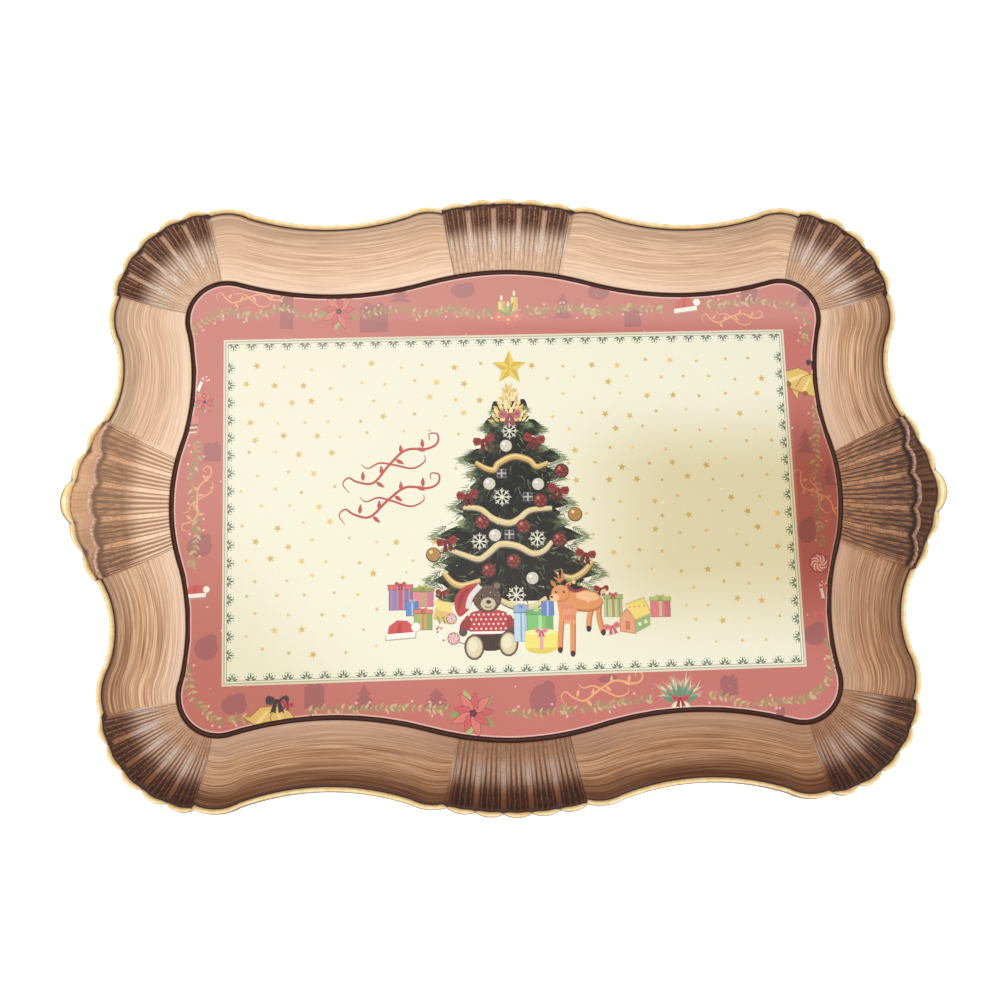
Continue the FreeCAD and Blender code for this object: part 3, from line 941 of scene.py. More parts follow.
def paint_candles(picture):
    for x, low, high in ((-3.0, 99.0, 106.5), (3.8, 100.0, 109.0), (0.5, 98.0, 103.0)):
        picture.block((x, (low + high) / 2), 3.8, high - low, (226, 186, 100))
        picture.block((x - 0.9, (low + high) / 2), 0.9, high - low, (246, 222, 150))
        picture.leaf((x, high + 0.4), 3.4, 90.0, 1.5, (252, 240, 190))
    for k in range(6):
        lean = -10.0 + 40.0 * k
        picture.leaf((0.5, 98.5), 8.5, lean, 2.2, LEAF_GREENS[k % 2], SPRIG_GREEN)
    for x, y, radius in ((-4.5, 98.0, 3.4), (5.0, 98.5, 3.6), (0.5, 96.5, 3.4)):
        for k in range(6):
            picture.leaf((x, y), radius, 60.0 * k + 15.0, radius * 0.6, PETAL_PINKS[1], (176, 84, 88))
        picture.disc((x, y), 0.7, PALE_GOLD, sides=7)


def paint_pine_sprig(picture, place):
    x, y = place
    for k in range(9):
        lean = 20.0 + 17.5 * k
        shades = ((70, 104, 92), (110, 140, 118), (150, 172, 130), (206, 214, 180))
        picture.needles((x, y + 2.0), lean, 11.0 + 2.0 * (k % 2), 34.0, 14, shades)
    for k in range(7):
        picture.leaf(on_circle((x, y), 3.0, 30.0 + 20.0 * k), 8.0, 28.0 + 21.0 * k, 2.4, (104, 146, 118),
                     (64, 96, 84))
    picture.disc((x, y - 1.0), 5.0, (232, 206, 180), 3.6)
    picture.disc((x, y - 0.4), 3.6, (246, 228, 204), 2.4)
    picture.bow((x, y + 3.4), 4.4, (200, 84, 82), (156, 56, 60))


def paint_stocking(picture, place, size):
    body = [(-0.5, 0.7), (0.3, 0.8), (0.35, -0.1), (0.7, -0.5), (0.4, -0.9), (-0.1, -0.75), (-0.4, -0.2)]
    picture.shape(placed(body, place, -12.0, size), (214, 130, 124))
    for step in range(4):
        picture.block(placed([(0.0, -0.7 + 0.22 * step)], place, -12.0, size)[0], 4.6, 0.6,
                      (96, 92, 82) if step % 2 else (236, 226, 206), 6.0)


def paint_sweet(picture, place, radius):
    picture.disc(place, radius, (150, 66, 74))
    picture.disc(place, radius * 0.9, (214, 112, 118))
    for k in range(8):
        start = on_circle(place, radius * 0.15, 45.0 * k)
        middle = on_circle(place, radius * 0.55, 45.0 * k + 25.0)
        picture.ribbon([start, middle, on_circle(place, radius * 0.88, 45.0 * k + 62.0)], radius * 0.14,
                       WHITE, 0.4, 3)


# ---- field of the picture ----

def paint_field(picture):
    corners = ((-1.0, -1.0), (1.0, -1.0), (1.0, 1.0), (-1.0, 1.0))
    for inset, colour in ((-1.0, (224, 214, 190)), (0.0, FRAME_OLIVE), (0.5, FIELD_CREAM), (1.3, SPRIG_GREEN),
                          (1.55, FIELD_CREAM)):
        picture.shape([on_field(x * (FIELD_HALF_WIDTH - inset), y * (FIELD_HALF_HEIGHT - inset))
                       for x, y in corners], colour)
    pitch = 9.3
    sides = ((FIELD_HALF_WIDTH, FIELD_HALF_HEIGHT, 0.0), (FIELD_HALF_HEIGHT - pitch, FIELD_HALF_WIDTH, 90.0))
    for half_length, half_across, turn in sides:
        count = int((half_length - 3.0) * 2.0 / pitch)
        for index in range(count + 1):
            along = (index - count / 2.0) * pitch
            for flip in (0.0, 180.0):
                place = placed([(along, half_across - 1.6)], (0.0, 0.0), turn + flip)[0]
                paint_sprig(picture, on_field(*place), turn + flip - 90.0 + FIELD_TURN)


def paint_sprig(picture, place, turn):
    """Five leaflets in a fan with a row of dots, pointing inwards from the frame."""
    for lean, length in ((-76.0, 2.7), (-40.0, 2.6), (0.0, 3.3), (40.0, 2.6), (76.0, 2.7)):
        base = on_circle(place, 0.5, turn + lean)
        picture.leaf(base, length, turn + lean, 0.85, SPRIG_GREEN)
    for lean in (-58.0, -20.0, 20.0, 58.0):
        picture.disc(on_circle(place, 3.3, turn + lean), 0.34, SPRIG_GREEN, sides=5)


def paint_small_stars(picture):
    """Gold stars strewn over the field, clear of the tree, the toys and the flourish."""
    row_pitch, column_pitch = 9.2, 14.5
    for row in range(-8, 9):
        for column in range(-10, 11):
            x = (column + 0.5 * (row % 2)) * column_pitch + RNG.uniform(-2.6, 2.6)
            y = row * row_pitch + RNG.uniform(-2.0, 2.0)
            radius = RNG.choice((1.1, 1.3, 2.1))
            turn = RNG.uniform(0.0, 72.0)
            on_tree = abs(x) < 5.0 + (76.0 - y) * 0.36
            on_toys = -66.0 < x < 84.0 and -84.0 < y < -42.0
            on_flourish = -90.0 < x < -34.0 and -12.0 < y < 36.0
            in_frame = abs(x) < FIELD_HALF_WIDTH - 7.0 and abs(y) < FIELD_HALF_HEIGHT - 7.0
            if in_frame and not (on_tree or on_toys or on_flourish):
                picture.star(on_field(x, y), radius, RNG.choice((GOLD, (214, 178, 96), (236, 200, 120))),
                             turn=turn)


# ---- tree ----

TREE_TOP = 52.0
TREE_BASE = -53.0


def tree_half_width(y):
    return 6.5 + (TREE_TOP - y) * 0.36


def paint_tree(picture):
    heights = [TREE_TOP - step * 3.5 for step in range(31)]
    edge = [(tree_half_width(y) * (0.93 if step % 2 else 0.8), y) for step, y in enumerate(heights)]
    picture.shape(edge + [(-x, y) for x, y in edge[::-1]], FIR_DARK)
    branches = (
        (-10.5, 46.0), (11.0, 47.0), (-9.0, 39.5), (12.0, 39.0), (-16.0, 37.0), (20.0, 36.0), (-14.0, 27.0),
        (20.0, 26.5), (-27.5, 20.5), (30.0, 21.0), (-23.5, 12.5), (29.5, 11.0), (-24.0, 3.0), (28.0, 3.0),
        (-32.5, -4.5), (34.5, -3.0), (-28.0, -13.0), (30.0, -13.0), (-42.5, -19.5), (41.0, -20.5),
        (-36.0, -27.0), (38.0, -30.0), (-41.0, -33.0), (45.0, -36.0), (-45.5, -42.5), (49.5, -40.0),
        (-38.0, -50.0), (45.0, -49.0))
    for x, y in branches:
        twig_base = (x * 0.3, y + 3.0)
        heading = math.degrees(math.atan2(y - twig_base[1], x - twig_base[0]))
        picture.leaf(twig_base, math.dist(twig_base, (x, y)) * 0.88, heading, 9.5, FIR_DARK)
    stroke_count = 580
    for _ in range(stroke_count):
        y = RNG.uniform(TREE_BASE, TREE_TOP - 4.0)
        share = RNG.uniform(-1.05, 1.05)
        x = share * tree_half_width(y)
        lean = math.degrees(math.atan2(-12.0, x)) + RNG.uniform(-50.0, 50.0)
        length = RNG.uniform(2.6, 5.2)
        shade = FIR_SHADES[min(3, int(RNG.uniform(0.0, 2.9) + 0.7 * abs(share)))]
        picture.shape(placed(spike(length, 0.34), (x, y), lean), shade)
    for x, y in branches:
        reach = 12.0 if abs(x) > 20.0 else 9.0
        for lean, share in ((-26.0, 0.9), (26.0, 0.9), (0.0, 1.0)):
            turn = (180.0 if x < 0.0 else 0.0) + lean + (6.0 if x < 0.0 else -6.0)
            base = on_circle((x, y), -reach * share, turn)
            picture.needles(base, turn, reach * share, 42.0, 13, FIR_SHADES)


def paint_ornaments(picture):
    cream = (214, 196, 156)
    for route, colour in (
            ([(-18.0, 19.5), (-13.0, 16.5), (-8.5, 15.5), (-6.0, 19.0), (2.0, 22.5), (10.0, 20.5),
              (14.0, 17.0), (20.0, 19.0)], (206, 166, 96)),
            ([(-25.0, -4.0), (-16.0, -5.0), (-9.5, -10.0), (-1.5, -12.5), (4.0, -10.5), (10.0, -6.0),
              (21.5, -5.0)], cream),
            ([(-32.0, -26.0), (-24.0, -29.0), (-17.0, -31.0), (-12.0, -28.0), (-6.0, -23.5), (3.0, -24.5),
              (11.0, -28.5), (17.0, -27.0), (21.0, -22.5)], cream),
            ([(-35.5, -37.5), (-30.5, -43.0), (-25.0, -44.5), (-16.5, -42.0)], (206, 172, 110)),
            ([(25.5, -40.0), (31.0, -41.5), (37.0, -38.5), (42.0, -33.0)], (206, 172, 110)),
            ([(-6.5, -52.0), (0.0, -55.0), (10.0, -56.0), (17.5, -51.5)], cream)):
        low = [(x, y - 0.5) for x, y in route]
        picture.ribbon(low, 3.6, darker(colour, 0.5), 0.3)
        picture.ribbon(route, 3.0, colour, 0.3)
        picture.ribbon([(x, y + 0.4) for x, y in route], 0.9, PALE_GOLD, 0.5)
    for place in ((-15.0, -12.0), (6.5, -14.5), (15.5, -1.0), (25.0, -21.5), (1.0, -32.5), (-12.0, -37.0),
                  (27.0, 14.5)):
        picture.ball(place, 3.9, BALL_RED, (196, 120, 104), (168, 84, 72))
    for place in ((33.5, -8.5), (-40.5, -28.5)):
        picture.ball(place, 3.9, (178, 132, 70), PALE_GOLD)
    for place in ((-2.0, 28.0), (-11.0, 8.0), (14.5, 7.5), (-8.5, -19.0), (10.5, -41.5)):
        picture.ball(place, 3.5, (214, 208, 192), WHITE, (186, 180, 162))
    for place in ((-4.5, 13.5), (9.0, 1.0), (-1.0, -18.5)):
        picture.block(place, 5.0, 4.6, (120, 118, 120))
        picture.block(place, 4.2, 3.8, (62, 62, 74))
        picture.block(place, 0.8, 4.4, (190, 184, 178))
        picture.block(place, 4.8, 0.7, (190, 184, 178))
    for place, size, turn in (
            ((-13.5, 31.0), 5.8, 16.0), ((13.0, 31.5), 5.8, -10.0), ((-22.5, 2.0), 5.8, 8.0),
            ((25.0, 4.5), 5.8, -14.0), ((-33.5, -22.0), 5.4, 12.0), ((38.5, -29.5), 5.4, -10.0),
            ((-36.0, -48.0), 3.6, 0.0), ((46.0, -47.5), 4.0, 0.0)):
        picture.bow(place, size, RIBBON_RED, darker(RIBBON_RED, 0.7), turn)
    for place, radius in (((0.0, 36.0), 4.4), ((-4.5, 1.0), 4.8), ((-16.5, -22.0), 4.6), ((13.5, -21.0), 4.6),
                          ((2.0, -50.0), 5.0)):
        picture.snowflake(place, radius, (228, 224, 204))


def paint_tree_top(picture):
    """Gold lace cone with a pink bow under a faceted star."""
    for row in range(9):
        y = 60.0 - row * 2.2
        half = 1.6 + row * 0.8
        for step in range(5 + row):
            x = -half + 2.0 * half * step / (4 + row)
            lean = 90.0 + math.degrees(math.atan2(x, 14.0)) * -1.6 + RNG.uniform(-25.0, 25.0)
            picture.leaf((x, y - 1.6), 3.6, lean, 1.6, RNG.choice((PALE_GOLD, GOLD, (246, 228, 176))),
                         (150, 112, 66))
    picture.bow((0.3, 44.5), 6.0, (190, 110, 112), (150, 76, 80))
    for x in (-6.0, 6.5):
        picture.ribbon([(x * 1.6, 44.0), (x * 1.2, 41.0), (x * 0.7, 40.0)], 0.7, INK_DARK)
    picture.star((0.5, 70.0), 9.6, BRIGHT_GOLD, (214, 178, 72))


# ---- toys and gifts under the tree ----

def paint_left_gifts(picture):
    picture.gift((-57.5, -50.5), 11.5, 12.0, (150, 130, 176), (206, 88, 92), (206, 110, 112))
    for step in range(4):
        picture.block((-62.0 + 3.0 * step, -50.5), 0.7, 11.5, (206, 132, 140))
    picture.gift((-46.0, -50.5), 10.5, 9.0, (222, 138, 150), (170, 176, 90), (150, 158, 80))
    picture.gift((-51.5, -56.0), 6.0, 7.0, (110, 140, 196), (176, 196, 224))
    picture.gift((-46.0, -62.0), 9.0, 9.5, (166, 182, 104), (222, 122, 100), (212, 130, 104))
    picture.shape([(-41.0, -61.5), (-32.5, -64.5), (-31.0, -55.0), (-38.5, -51.0)], (222, 190, 110))
    picture.shape([(-41.0, -52.0), (-32.0, -53.0), (-30.5, -58.5), (-38.0, -57.0)], (244, 216, 132))
    for step in range(3):
        picture.block((-38.0 + 2.6 * step, -62.0), 1.0, 4.0, (148, 160, 116), 20.0)
    picture.winter_hat((-57.5, -65.5), 7.8, 4.0)
    paint_sweet(picture, (-31.5, -61.5), 2.8)
    picture.cane((-38.0, -69.0), 4.0, 35.0)
    picture.ribbon([(-31.0, -71.5), (-27.5, -73.5), (-24.0, -74.5)], 0.5, (170, 90, 80))
    paint_sweet(picture, (-30.5, -71.5), 3.2)


def paint_bear(picture):
    fur, dark_fur, light_fur = (98, 76, 66), (66, 50, 46), (134, 108, 92)
    picture.disc((-11.5, -72.0), 10.5, dark_fur, 6.2)
    jumper = (188, 70, 72)
    picture.disc((-12.5, -63.5), 13.2, darker(jumper, 0.75), 6.8)
    picture.disc((-12.5, -63.2), 12.7, jumper, 6.3)
    for row in range(4):
        for step in range(9):
            x = -22.5 + 2.5 * step + (1.2 if row % 2 else 0.0)
            picture.disc((x, -59.6 - 2.4 * row), 0.55, WHITE, sides=6)
    picture.block((-12.5, -68.8), 18.0, 1.3, WHITE)
    for x, turn in ((-24.5, 62.0), (-0.5, -62.0)):
        picture.disc((x, -65.0), 4.2, darker(jumper, 0.85), 2.6, turn)
        picture.disc((x * 1.03 - 0.4, -68.4), 2.2, fur)
    picture.disc((-13.0, -51.5), 7.4, dark_fur, 7.0)
    picture.disc((-13.0, -51.2), 6.9, fur, 6.5)
    picture.disc((-8.0, -45.0), 2.6, dark_fur)
    picture.disc((-8.0, -45.0), 1.6, light_fur)
    for k in range(26):
        lean = 360.0 * k / 26
        picture.shape(placed([(5.6, -0.25), (7.9, 0.0), (5.6, 0.25)], (-13.0, -51.3), lean),
                      light_fur if k % 3 else fur)
    picture.disc((-12.6, -54.2), 3.9, (206, 190, 158), 3.3)
    picture.disc((-12.4, -53.2), 1.3, INK_DARK, 1.0)
    picture.ribbon([(-14.4, -55.4), (-12.5, -56.2), (-10.8, -55.3)], 0.4, INK_DARK)
    for x in (-15.6, -9.4):
        picture.disc((x, -50.2), 0.75, (30, 24, 24), sides=8)
        picture.disc((x + 0.2, -49.9), 0.25, WHITE, sides=5)
    hat = smooth_line([(-22.0, -56.5), (-27.5, -60.5), (-30.0, -53.0), (-26.0, -46.0), (-18.5, -43.5),
                       (-17.5, -45.5)], 4)
    picture.shape(hat, (186, 66, 66))
    picture.ribbon([(-28.0, -57.5), (-26.0, -50.0), (-21.5, -46.0)], 2.2, (156, 50, 54), 0.8)
    picture.ribbon([(-23.0, -56.5), (-21.5, -50.5), (-16.5, -44.8)], 2.7, (222, 220, 214))
    for x, y in ((-20.0, -76.0), (-2.5, -74.5)):
        picture.disc((x, y), 5.2, dark_fur, 6.6)
        picture.disc((x, y), 4.6, (150, 126, 96), 6.0)
        picture.disc((x, y), 4.0, (222, 210, 172), 5.3)
        picture.disc((x - 0.8, y + 0.8), 2.4, (236, 226, 194), 3.4)


def paint_middle_gifts(picture):
    picture.gift((4.2, -65.0), 7.0, 17.0, (196, 216, 228), (140, 170, 206), (150, 176, 206))
    picture.gift((14.0, -64.0), 13.0, 11.0, (130, 196, 118), (178, 220, 150), (110, 176, 104))
    picture.block((18.0, -57.0), 6.6, 7.6, (104, 132, 190))
    picture.block((18.0, -57.0), 1.0, 7.6, (176, 190, 222))
    picture.disc((14.5, -76.5), 8.4, (226, 206, 92), 3.6)
    picture.block((14.5, -73.0), 16.8, 8.0, (240, 226, 120))
    picture.disc((14.5, -69.0), 8.4, (248, 238, 156), 1.5)
    picture.block((14.5, -73.5), 1.8, 9.0, (224, 168, 176))
    picture.bow((14.5, -68.5), 3.2, (226, 140, 150), (196, 104, 120))


def paint_deer(picture):
    coat, shade, light = (228, 152, 96), (196, 116, 70), (246, 192, 146)
    legs = (((25.5, -60.0), (24.5, -70.0), (24.0, -78.5)), ((31.0, -60.0), (30.8, -71.0), (30.5, -80.5)),
            ((41.5, -56.0), (39.5, -62.0), (39.0, -68.0)), ((45.0, -54.0), (44.5, -62.0), (46.5, -70.0)))
    for leg in legs:
        picture.ribbon(leg, 2.9, shade, 0.0)
        picture.ribbon([(x - 0.3, y) for x, y in leg], 2.0, coat, 0.0)
        picture.disc((leg[2][0], leg[2][1] + 0.2), 1.3, INK_DARK, 1.7, sides=8)
    picture.disc((36.5, -53.5), 10.6, shade, 5.8, -6.0)
    picture.disc((36.5, -52.8), 10.1, coat, 5.2, -6.0)
    picture.disc((38.0, -51.0), 7.0, light, 2.4, -8.0)
    picture.leaf((45.5, -50.0), 4.0, 40.0, 2.2, light)
    picture.shape([(24.0, -62.0), (23.0, -54.0), (27.0, -47.0), (33.0, -50.0), (33.0, -60.0),
                   (28.5, -65.0)], coat)
    for k in range(12):
        base = (26.5 + 0.45 * k, -55.0 - 2.6 * (k % 4))
        picture.leaf(base, 3.2, 250.0 + 9.0 * (k % 3), 1.4, (238, 160, 134) if k % 2 else (222, 132, 112))
    for turn, length in ((100.0, 7.0), (70.0, 7.5), (125.0, 4.0), (50.0, 5.0)):
        root = (24.5, -44.0)
        picture.ribbon([root, on_circle(root, length * 0.6, turn), on_circle(root, length, turn + 12.0)], 0.9,
                       (202, 128, 82), 0.6)
    picture.leaf((22.5, -46.0), 4.4, 128.0, 2.4, shade, light)
    picture.leaf((27.5, -46.5), 4.4, 44.0, 2.4, coat, light)
    picture.disc((24.8, -49.5), 4.9, shade, 4.5)
    picture.disc((24.8, -49.2), 4.5, coat, 4.1)
    picture.disc((21.6, -51.6), 2.6, light, 2.0)
    picture.disc((20.2, -51.2), 0.8, INK_DARK, 0.6, sides=8)
    for x in (22.6, 26.6):
        picture.disc((x, -48.6), 0.7, (40, 26, 22), sides=8)
        picture.disc((x + 0.2, -48.3), 0.25, WHITE, sides=5)
    for step in range(4):
        picture.star((29.0 + 2.8 * step, -42.5 - 1.2 * step), 1.5,
                     (244, 222, 150) if step % 2 else (150, 160, 110))
    picture.ribbon([(28.5, -45.0), (32.0, -48.5), (38.0, -47.0)], 1.6, (150, 60, 60))


def paint_right_gifts(picture):
    picture.gift((52.0, -56.5), 9.0, 10.5, (198, 206, 150), (208, 104, 96), (170, 180, 116))
    for step in range(3):
        picture.block((48.8 + 3.2 * step, -57.0), 0.9, 9.0, (150, 160, 104))
    picture.bow((51.0, -67.0), 4.2, (222, 124, 128), (200, 96, 104), 12.0)
    picture.ribbon([(54.5, -66.0), (58.0, -68.0), (62.0, -67.5)], 1.4, (222, 124, 128))
    wall, roof = (232, 166, 128), (246, 222, 128)
    picture.shape([(55.0, -69.5), (63.5, -71.0), (63.0, -62.5), (58.8, -57.5), (55.0, -62.0)],
                  darker(wall, 0.85))
    picture.shape([(55.5, -69.0), (63.0, -70.4), (62.5, -62.5), (58.8, -58.5), (55.5, -62.4)], wall)
    picture.shape([(63.0, -70.5), (71.0, -66.5), (71.0, -61.0), (63.2, -62.5)], (152, 182, 126))
    picture.shape([(58.0, -55.5), (68.0, -52.0), (72.0, -60.5), (63.2, -64.0)], darker(roof, 0.85))
    picture.shape([(58.4, -56.0), (67.8, -52.8), (71.2, -60.2), (63.4, -63.2)], roof)
    picture.block((59.2, -66.5), 2.4, 4.4, (206, 120, 96))
    for x, y in ((65.5, -65.8), (68.6, -64.6)):
        picture.block((x, y), 1.6, 1.8, (240, 232, 190), 14.0)
    for step in range(4):
        picture.disc((60.5 + 2.5 * step, -57.2 + 0.2 * step), 0.45, (222, 130, 110), sides=6)
    picture.gift((76.5, -57.5), 10.0, 9.5, (226, 128, 142), (196, 206, 140), (186, 200, 120))


def paint_picture():
    picture = Picture()
    sheet = COLUMNS.contour((0.0, 0.0, -SHEET_INSET))[::4]
    picture.shape([tuple(point) for point in sheet], EDGE_PINK)
    inner_edge = COLUMNS.contour((0.0, 0.0, -SHEET_INSET - 0.7))[::4]
    picture.shape([tuple(point) for point in inner_edge], BORDER_RED)
    paint_border(picture)
    paint_field(picture)
    paint_small_stars(picture)
    picture.scroll((-60.0, 18.0), 20.0, 27.0, (190, 84, 78))
    picture.scroll((-61.0, -1.0), 14.0, 27.0, (190, 84, 78))
    paint_tree(picture)
    paint_ornaments(picture)
    paint_tree_top(picture)
    for paint_group in (paint_left_gifts, paint_bear, paint_middle_gifts, paint_deer, paint_right_gifts):
        paint_group(picture)
    return picture


def inside(point, outline):
    """Whether a line to the right of the point crosses the outline an odd number of times."""
    x, y = point
    odd = False
    for (ax, ay), (bx, by) in zip(outline, outline[1:] + outline[:1]):
        if (ay > y) != (by > y) and x < ax + (bx - ax) * (y - ay) / (by - ay):
            odd = not odd
    return odd


def topmost(triangle, layers, shapes):
    """The last painted of the shapes that hold the triangle's middle."""
    middle = (sum(corner.x for corner in triangle) / 3.0, sum(corner.y for corner in triangle) / 3.0)
    for layer in sorted(layers, reverse=True):
        if inside(middle, shapes[layer]):
            return layer
    return 0


def picture_mesh(name, picture, bottom, top):
    """Closed sheet whose top is cut along every painted outline, each face in the topmost colour there."""
    points, outlines = [], []
    for shape in picture.shapes:
        outlines.append(list(range(len(points), len(points) + len(shape))))
        points.extend(Vector(point) for point in shape)
    cut_points, _, triangles, _, _, painted = delaunay_2d_cdt(points, [], outlines, 0, 1.0e-4, True)
    kept = [(triangle, topmost([cut_points[corner] for corner in triangle], layers, picture.shapes))
            for triangle, layers in zip(triangles, painted) if 0 in layers]
    following = {}
    for triangle, _ in kept:
        for start, end in zip(triangle, triangle[1:] + triangle[:1]):
            following[start, end] = True
    rim = {start: end for start, end in following if (end, start) not in following}
    loop = [next(iter(rim))]
    while rim[loop[-1]] != loop[0]:
        loop.append(rim[loop[-1]])
    used = sorted({corner for triangle, _ in kept for corner in triangle})
    renumbered = {old: new for new, old in enumerate(used)}
    vertices = [(cut_points[old].x * MM, cut_points[old].y * MM, top * MM) for old in used]
    lower = {old: len(vertices) + index for index, old in enumerate(loop)}
    vertices += [(cut_points[old].x * MM, cut_points[old].y * MM, bottom * MM) for old in loop]
    faces = [[renumbered[corner] for corner in triangle] for triangle, _ in kept]
    colours = [srgb(*picture.colours[layer]) for _, layer in kept]
    for start, end in zip(loop, loop[1:] + loop[:1]):
        faces.append([renumbered[end], renumbered[start], lower[start], lower[end]])
        colours.append(srgb(*EDGE_PINK))
    faces.append([lower[old] for old in reversed(loop)])
    colours.append(srgb(*WHITE))
    mesh = bpy.data.meshes.new(name)
    mesh.from_pydata(vertices, [], faces)
    ink = mesh.attributes.new("ink", "FLOAT_COLOR", "CORNER")
    sides = [len(face) for face in faces]
    ink.data.foreach_set("color", np.repeat(np.array(colours, np.float32), sides, axis=0).ravel())
    mesh.update()
    return mesh


def make_picture(material):
    low, high = (corner.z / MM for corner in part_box("picture_sheet"))
    clearance = 0.03
    mesh = picture_mesh("picture_print", paint_picture(), low + clearance, high - clearance)
    sheet = link(mesh, "picture_print", material)
    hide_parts("picture_sheet")
    return sheet


# ---- materials ----

# pale warm tone of the painted light on the rim's far left
PAINTED_LIGHT_TONE = srgb(255, 226, 196)


class RimPattern:
    """The rim's directions, ribs and grains, which its three kinds of surface share."""

    def __init__(self, s):
        self.along = s.attribute("rim_along")
        self.across = s.attribute("rim_across")
        self.lobe_edge = s.attribute("lobe_edge")
        self.rib = s.attribute("rib")
        self.valley = s.ramp(self.rib, 0.6, 0.1)
        self.add_grains(s)
        self.add_painted_light_and_shade(s)

    def add_grains(self, s):
        across_mm = s.times(self.across, TYPICAL_RIM_WIDTH)
        wander = s.grain(self.along, across_mm, 0.012, 0.05, detail=1.0, roughness=0.5)
        bent_across = s.math("MULTIPLY_ADD", wander, 2.5, across_mm)
        self.fine_grain = s.grain(self.along, bent_across, 0.035, 3.4)
        self.broad_grain = s.grain(self.along, bent_across, 0.015, 1.0)
        self.cross_grain = s.grain(self.along, across_mm, 2.4, 0.2, detail=4.0)
        self.weave = s.grain(self.along, across_mm, 0.22, 1.5, seed=7.0)
        self.speckle = s.grain(self.along, across_mm, 1.1, 1.1, seed=3.0, roughness=0.7)
        self.ragged_across = s.math("MULTIPLY_ADD", self.cross_grain, 0.30,
                                    s.math("SUBTRACT", self.across, 0.15))

    def add_painted_light_and_shade(self, s):
        """Painted shade, darkest at the tray's near right, and painted light at its far left, mottled by the
        broad grain.
        """
        x, self.y, _ = s.split(s.object_place())
        from_far_left = s.math("MULTIPLY_ADD", x, 0.45, s.times(self.y, -1.0))
        self.painted_shade = s.math("ADD", s.ramp(from_far_left, -0.16, 0.17),
                            s.math("MULTIPLY_ADD", self.broad_grain, 0.3, -0.15))
        self.painted_light = s.ramp(self.painted_shade, 0.45, 0.0, 0.0, 0.30)


def plain_colour(s, rim):
    """Brown streaks along the plain rim, paler at its foot and darker towards its crest."""
    colour = s.mix(s.ramp(rim.broad_grain, 0.38, 0.62), srgb(186, 138, 98), srgb(232, 194, 158))
    colour = s.mix(s.ramp(rim.fine_grain, 0.48, 0.58, 0.0, 0.75), colour, srgb(158, 108, 72))
    colour = s.mix(s.ramp(rim.fine_grain, 0.58, 0.68, 0.0, 0.85), colour, srgb(98, 56, 34))
    colour = s.mix(s.ramp(rim.across, 0.0, 0.5, 0.5, 0.0), colour, srgb(240, 212, 190))
    near_crest = s.times(s.ramp(rim.across, 0.6, 1.0), s.ramp(rim.broad_grain, 0.3, 0.6, 0.9, 0.45))
    colour = s.mix(near_crest, colour, srgb(112, 70, 42))
    # painted light on the rim's far left
    return s.mix(rim.painted_light, colour, PAINTED_LIGHT_TONE)


def flute_colour(s, rim):
    """Pale lobes with dark valleys, a painted sheen across their middle and painted light at the rim's
    far left, and towards the crest a dark glazing that the ridges rub through.
    """
    gap = s.ramp(rim.lobe_edge, 0.70, 0.90)
    ridge = s.times(s.ramp(rim.rib, 0.70, 0.98), s.ramp(rim.lobe_edge, 0.95, 0.80))
    colour = s.mix(s.ramp(rim.speckle, 0.42, 0.58), srgb(198, 148, 108), srgb(240, 204, 172))
    # painted sheen: a greyish-white highlight across the middle of each lobe
    sheen = s.times(s.ramp(rim.across, 0.22, 0.45), s.ramp(rim.across, 0.88, 0.62))
    colour = s.mix(s.times(sheen, s.ramp(rim.lobe_edge, 0.5, 0.9, 0.3, 0.85)), colour, srgb(220, 206, 196))
    colour = s.mix(s.times(s.ramp(rim.across, 0.6, 0.9), 0.75), colour, srgb(176, 118, 80))
    colour = s.mix(s.times(rim.valley, s.ramp(rim.across, 0.05, 0.6, 0.45, 0.95)), colour, srgb(92, 54, 40))
    # painted light on the rim's far left
    colour = s.mix(rim.painted_light, colour, PAINTED_LIGHT_TONE)
    patch = s.times(s.ramp(rim.ragged_across, 0.50, 0.80), s.math("MULTIPLY_ADD", gap, -0.8, 1.0))
    streak = s.math("MAXIMUM", s.times(ridge, s.ramp(rim.speckle, 0.38, 0.56)),
                    s.ramp(rim.cross_grain, 0.54, 0.66, 0.0, 0.6))
    colour = s.mix(patch, colour, s.mix(streak, srgb(48, 20, 10), srgb(182, 130, 98)))
    colour = s.mix(s.ramp(rim.speckle, 0.52, 0.62, 0.0, 0.5), colour, srgb(104, 62, 40))
    return s.mix(s.ramp(rim.cross_grain, 0.60, 0.42, 0.0, 0.35), colour, srgb(120, 76, 52))


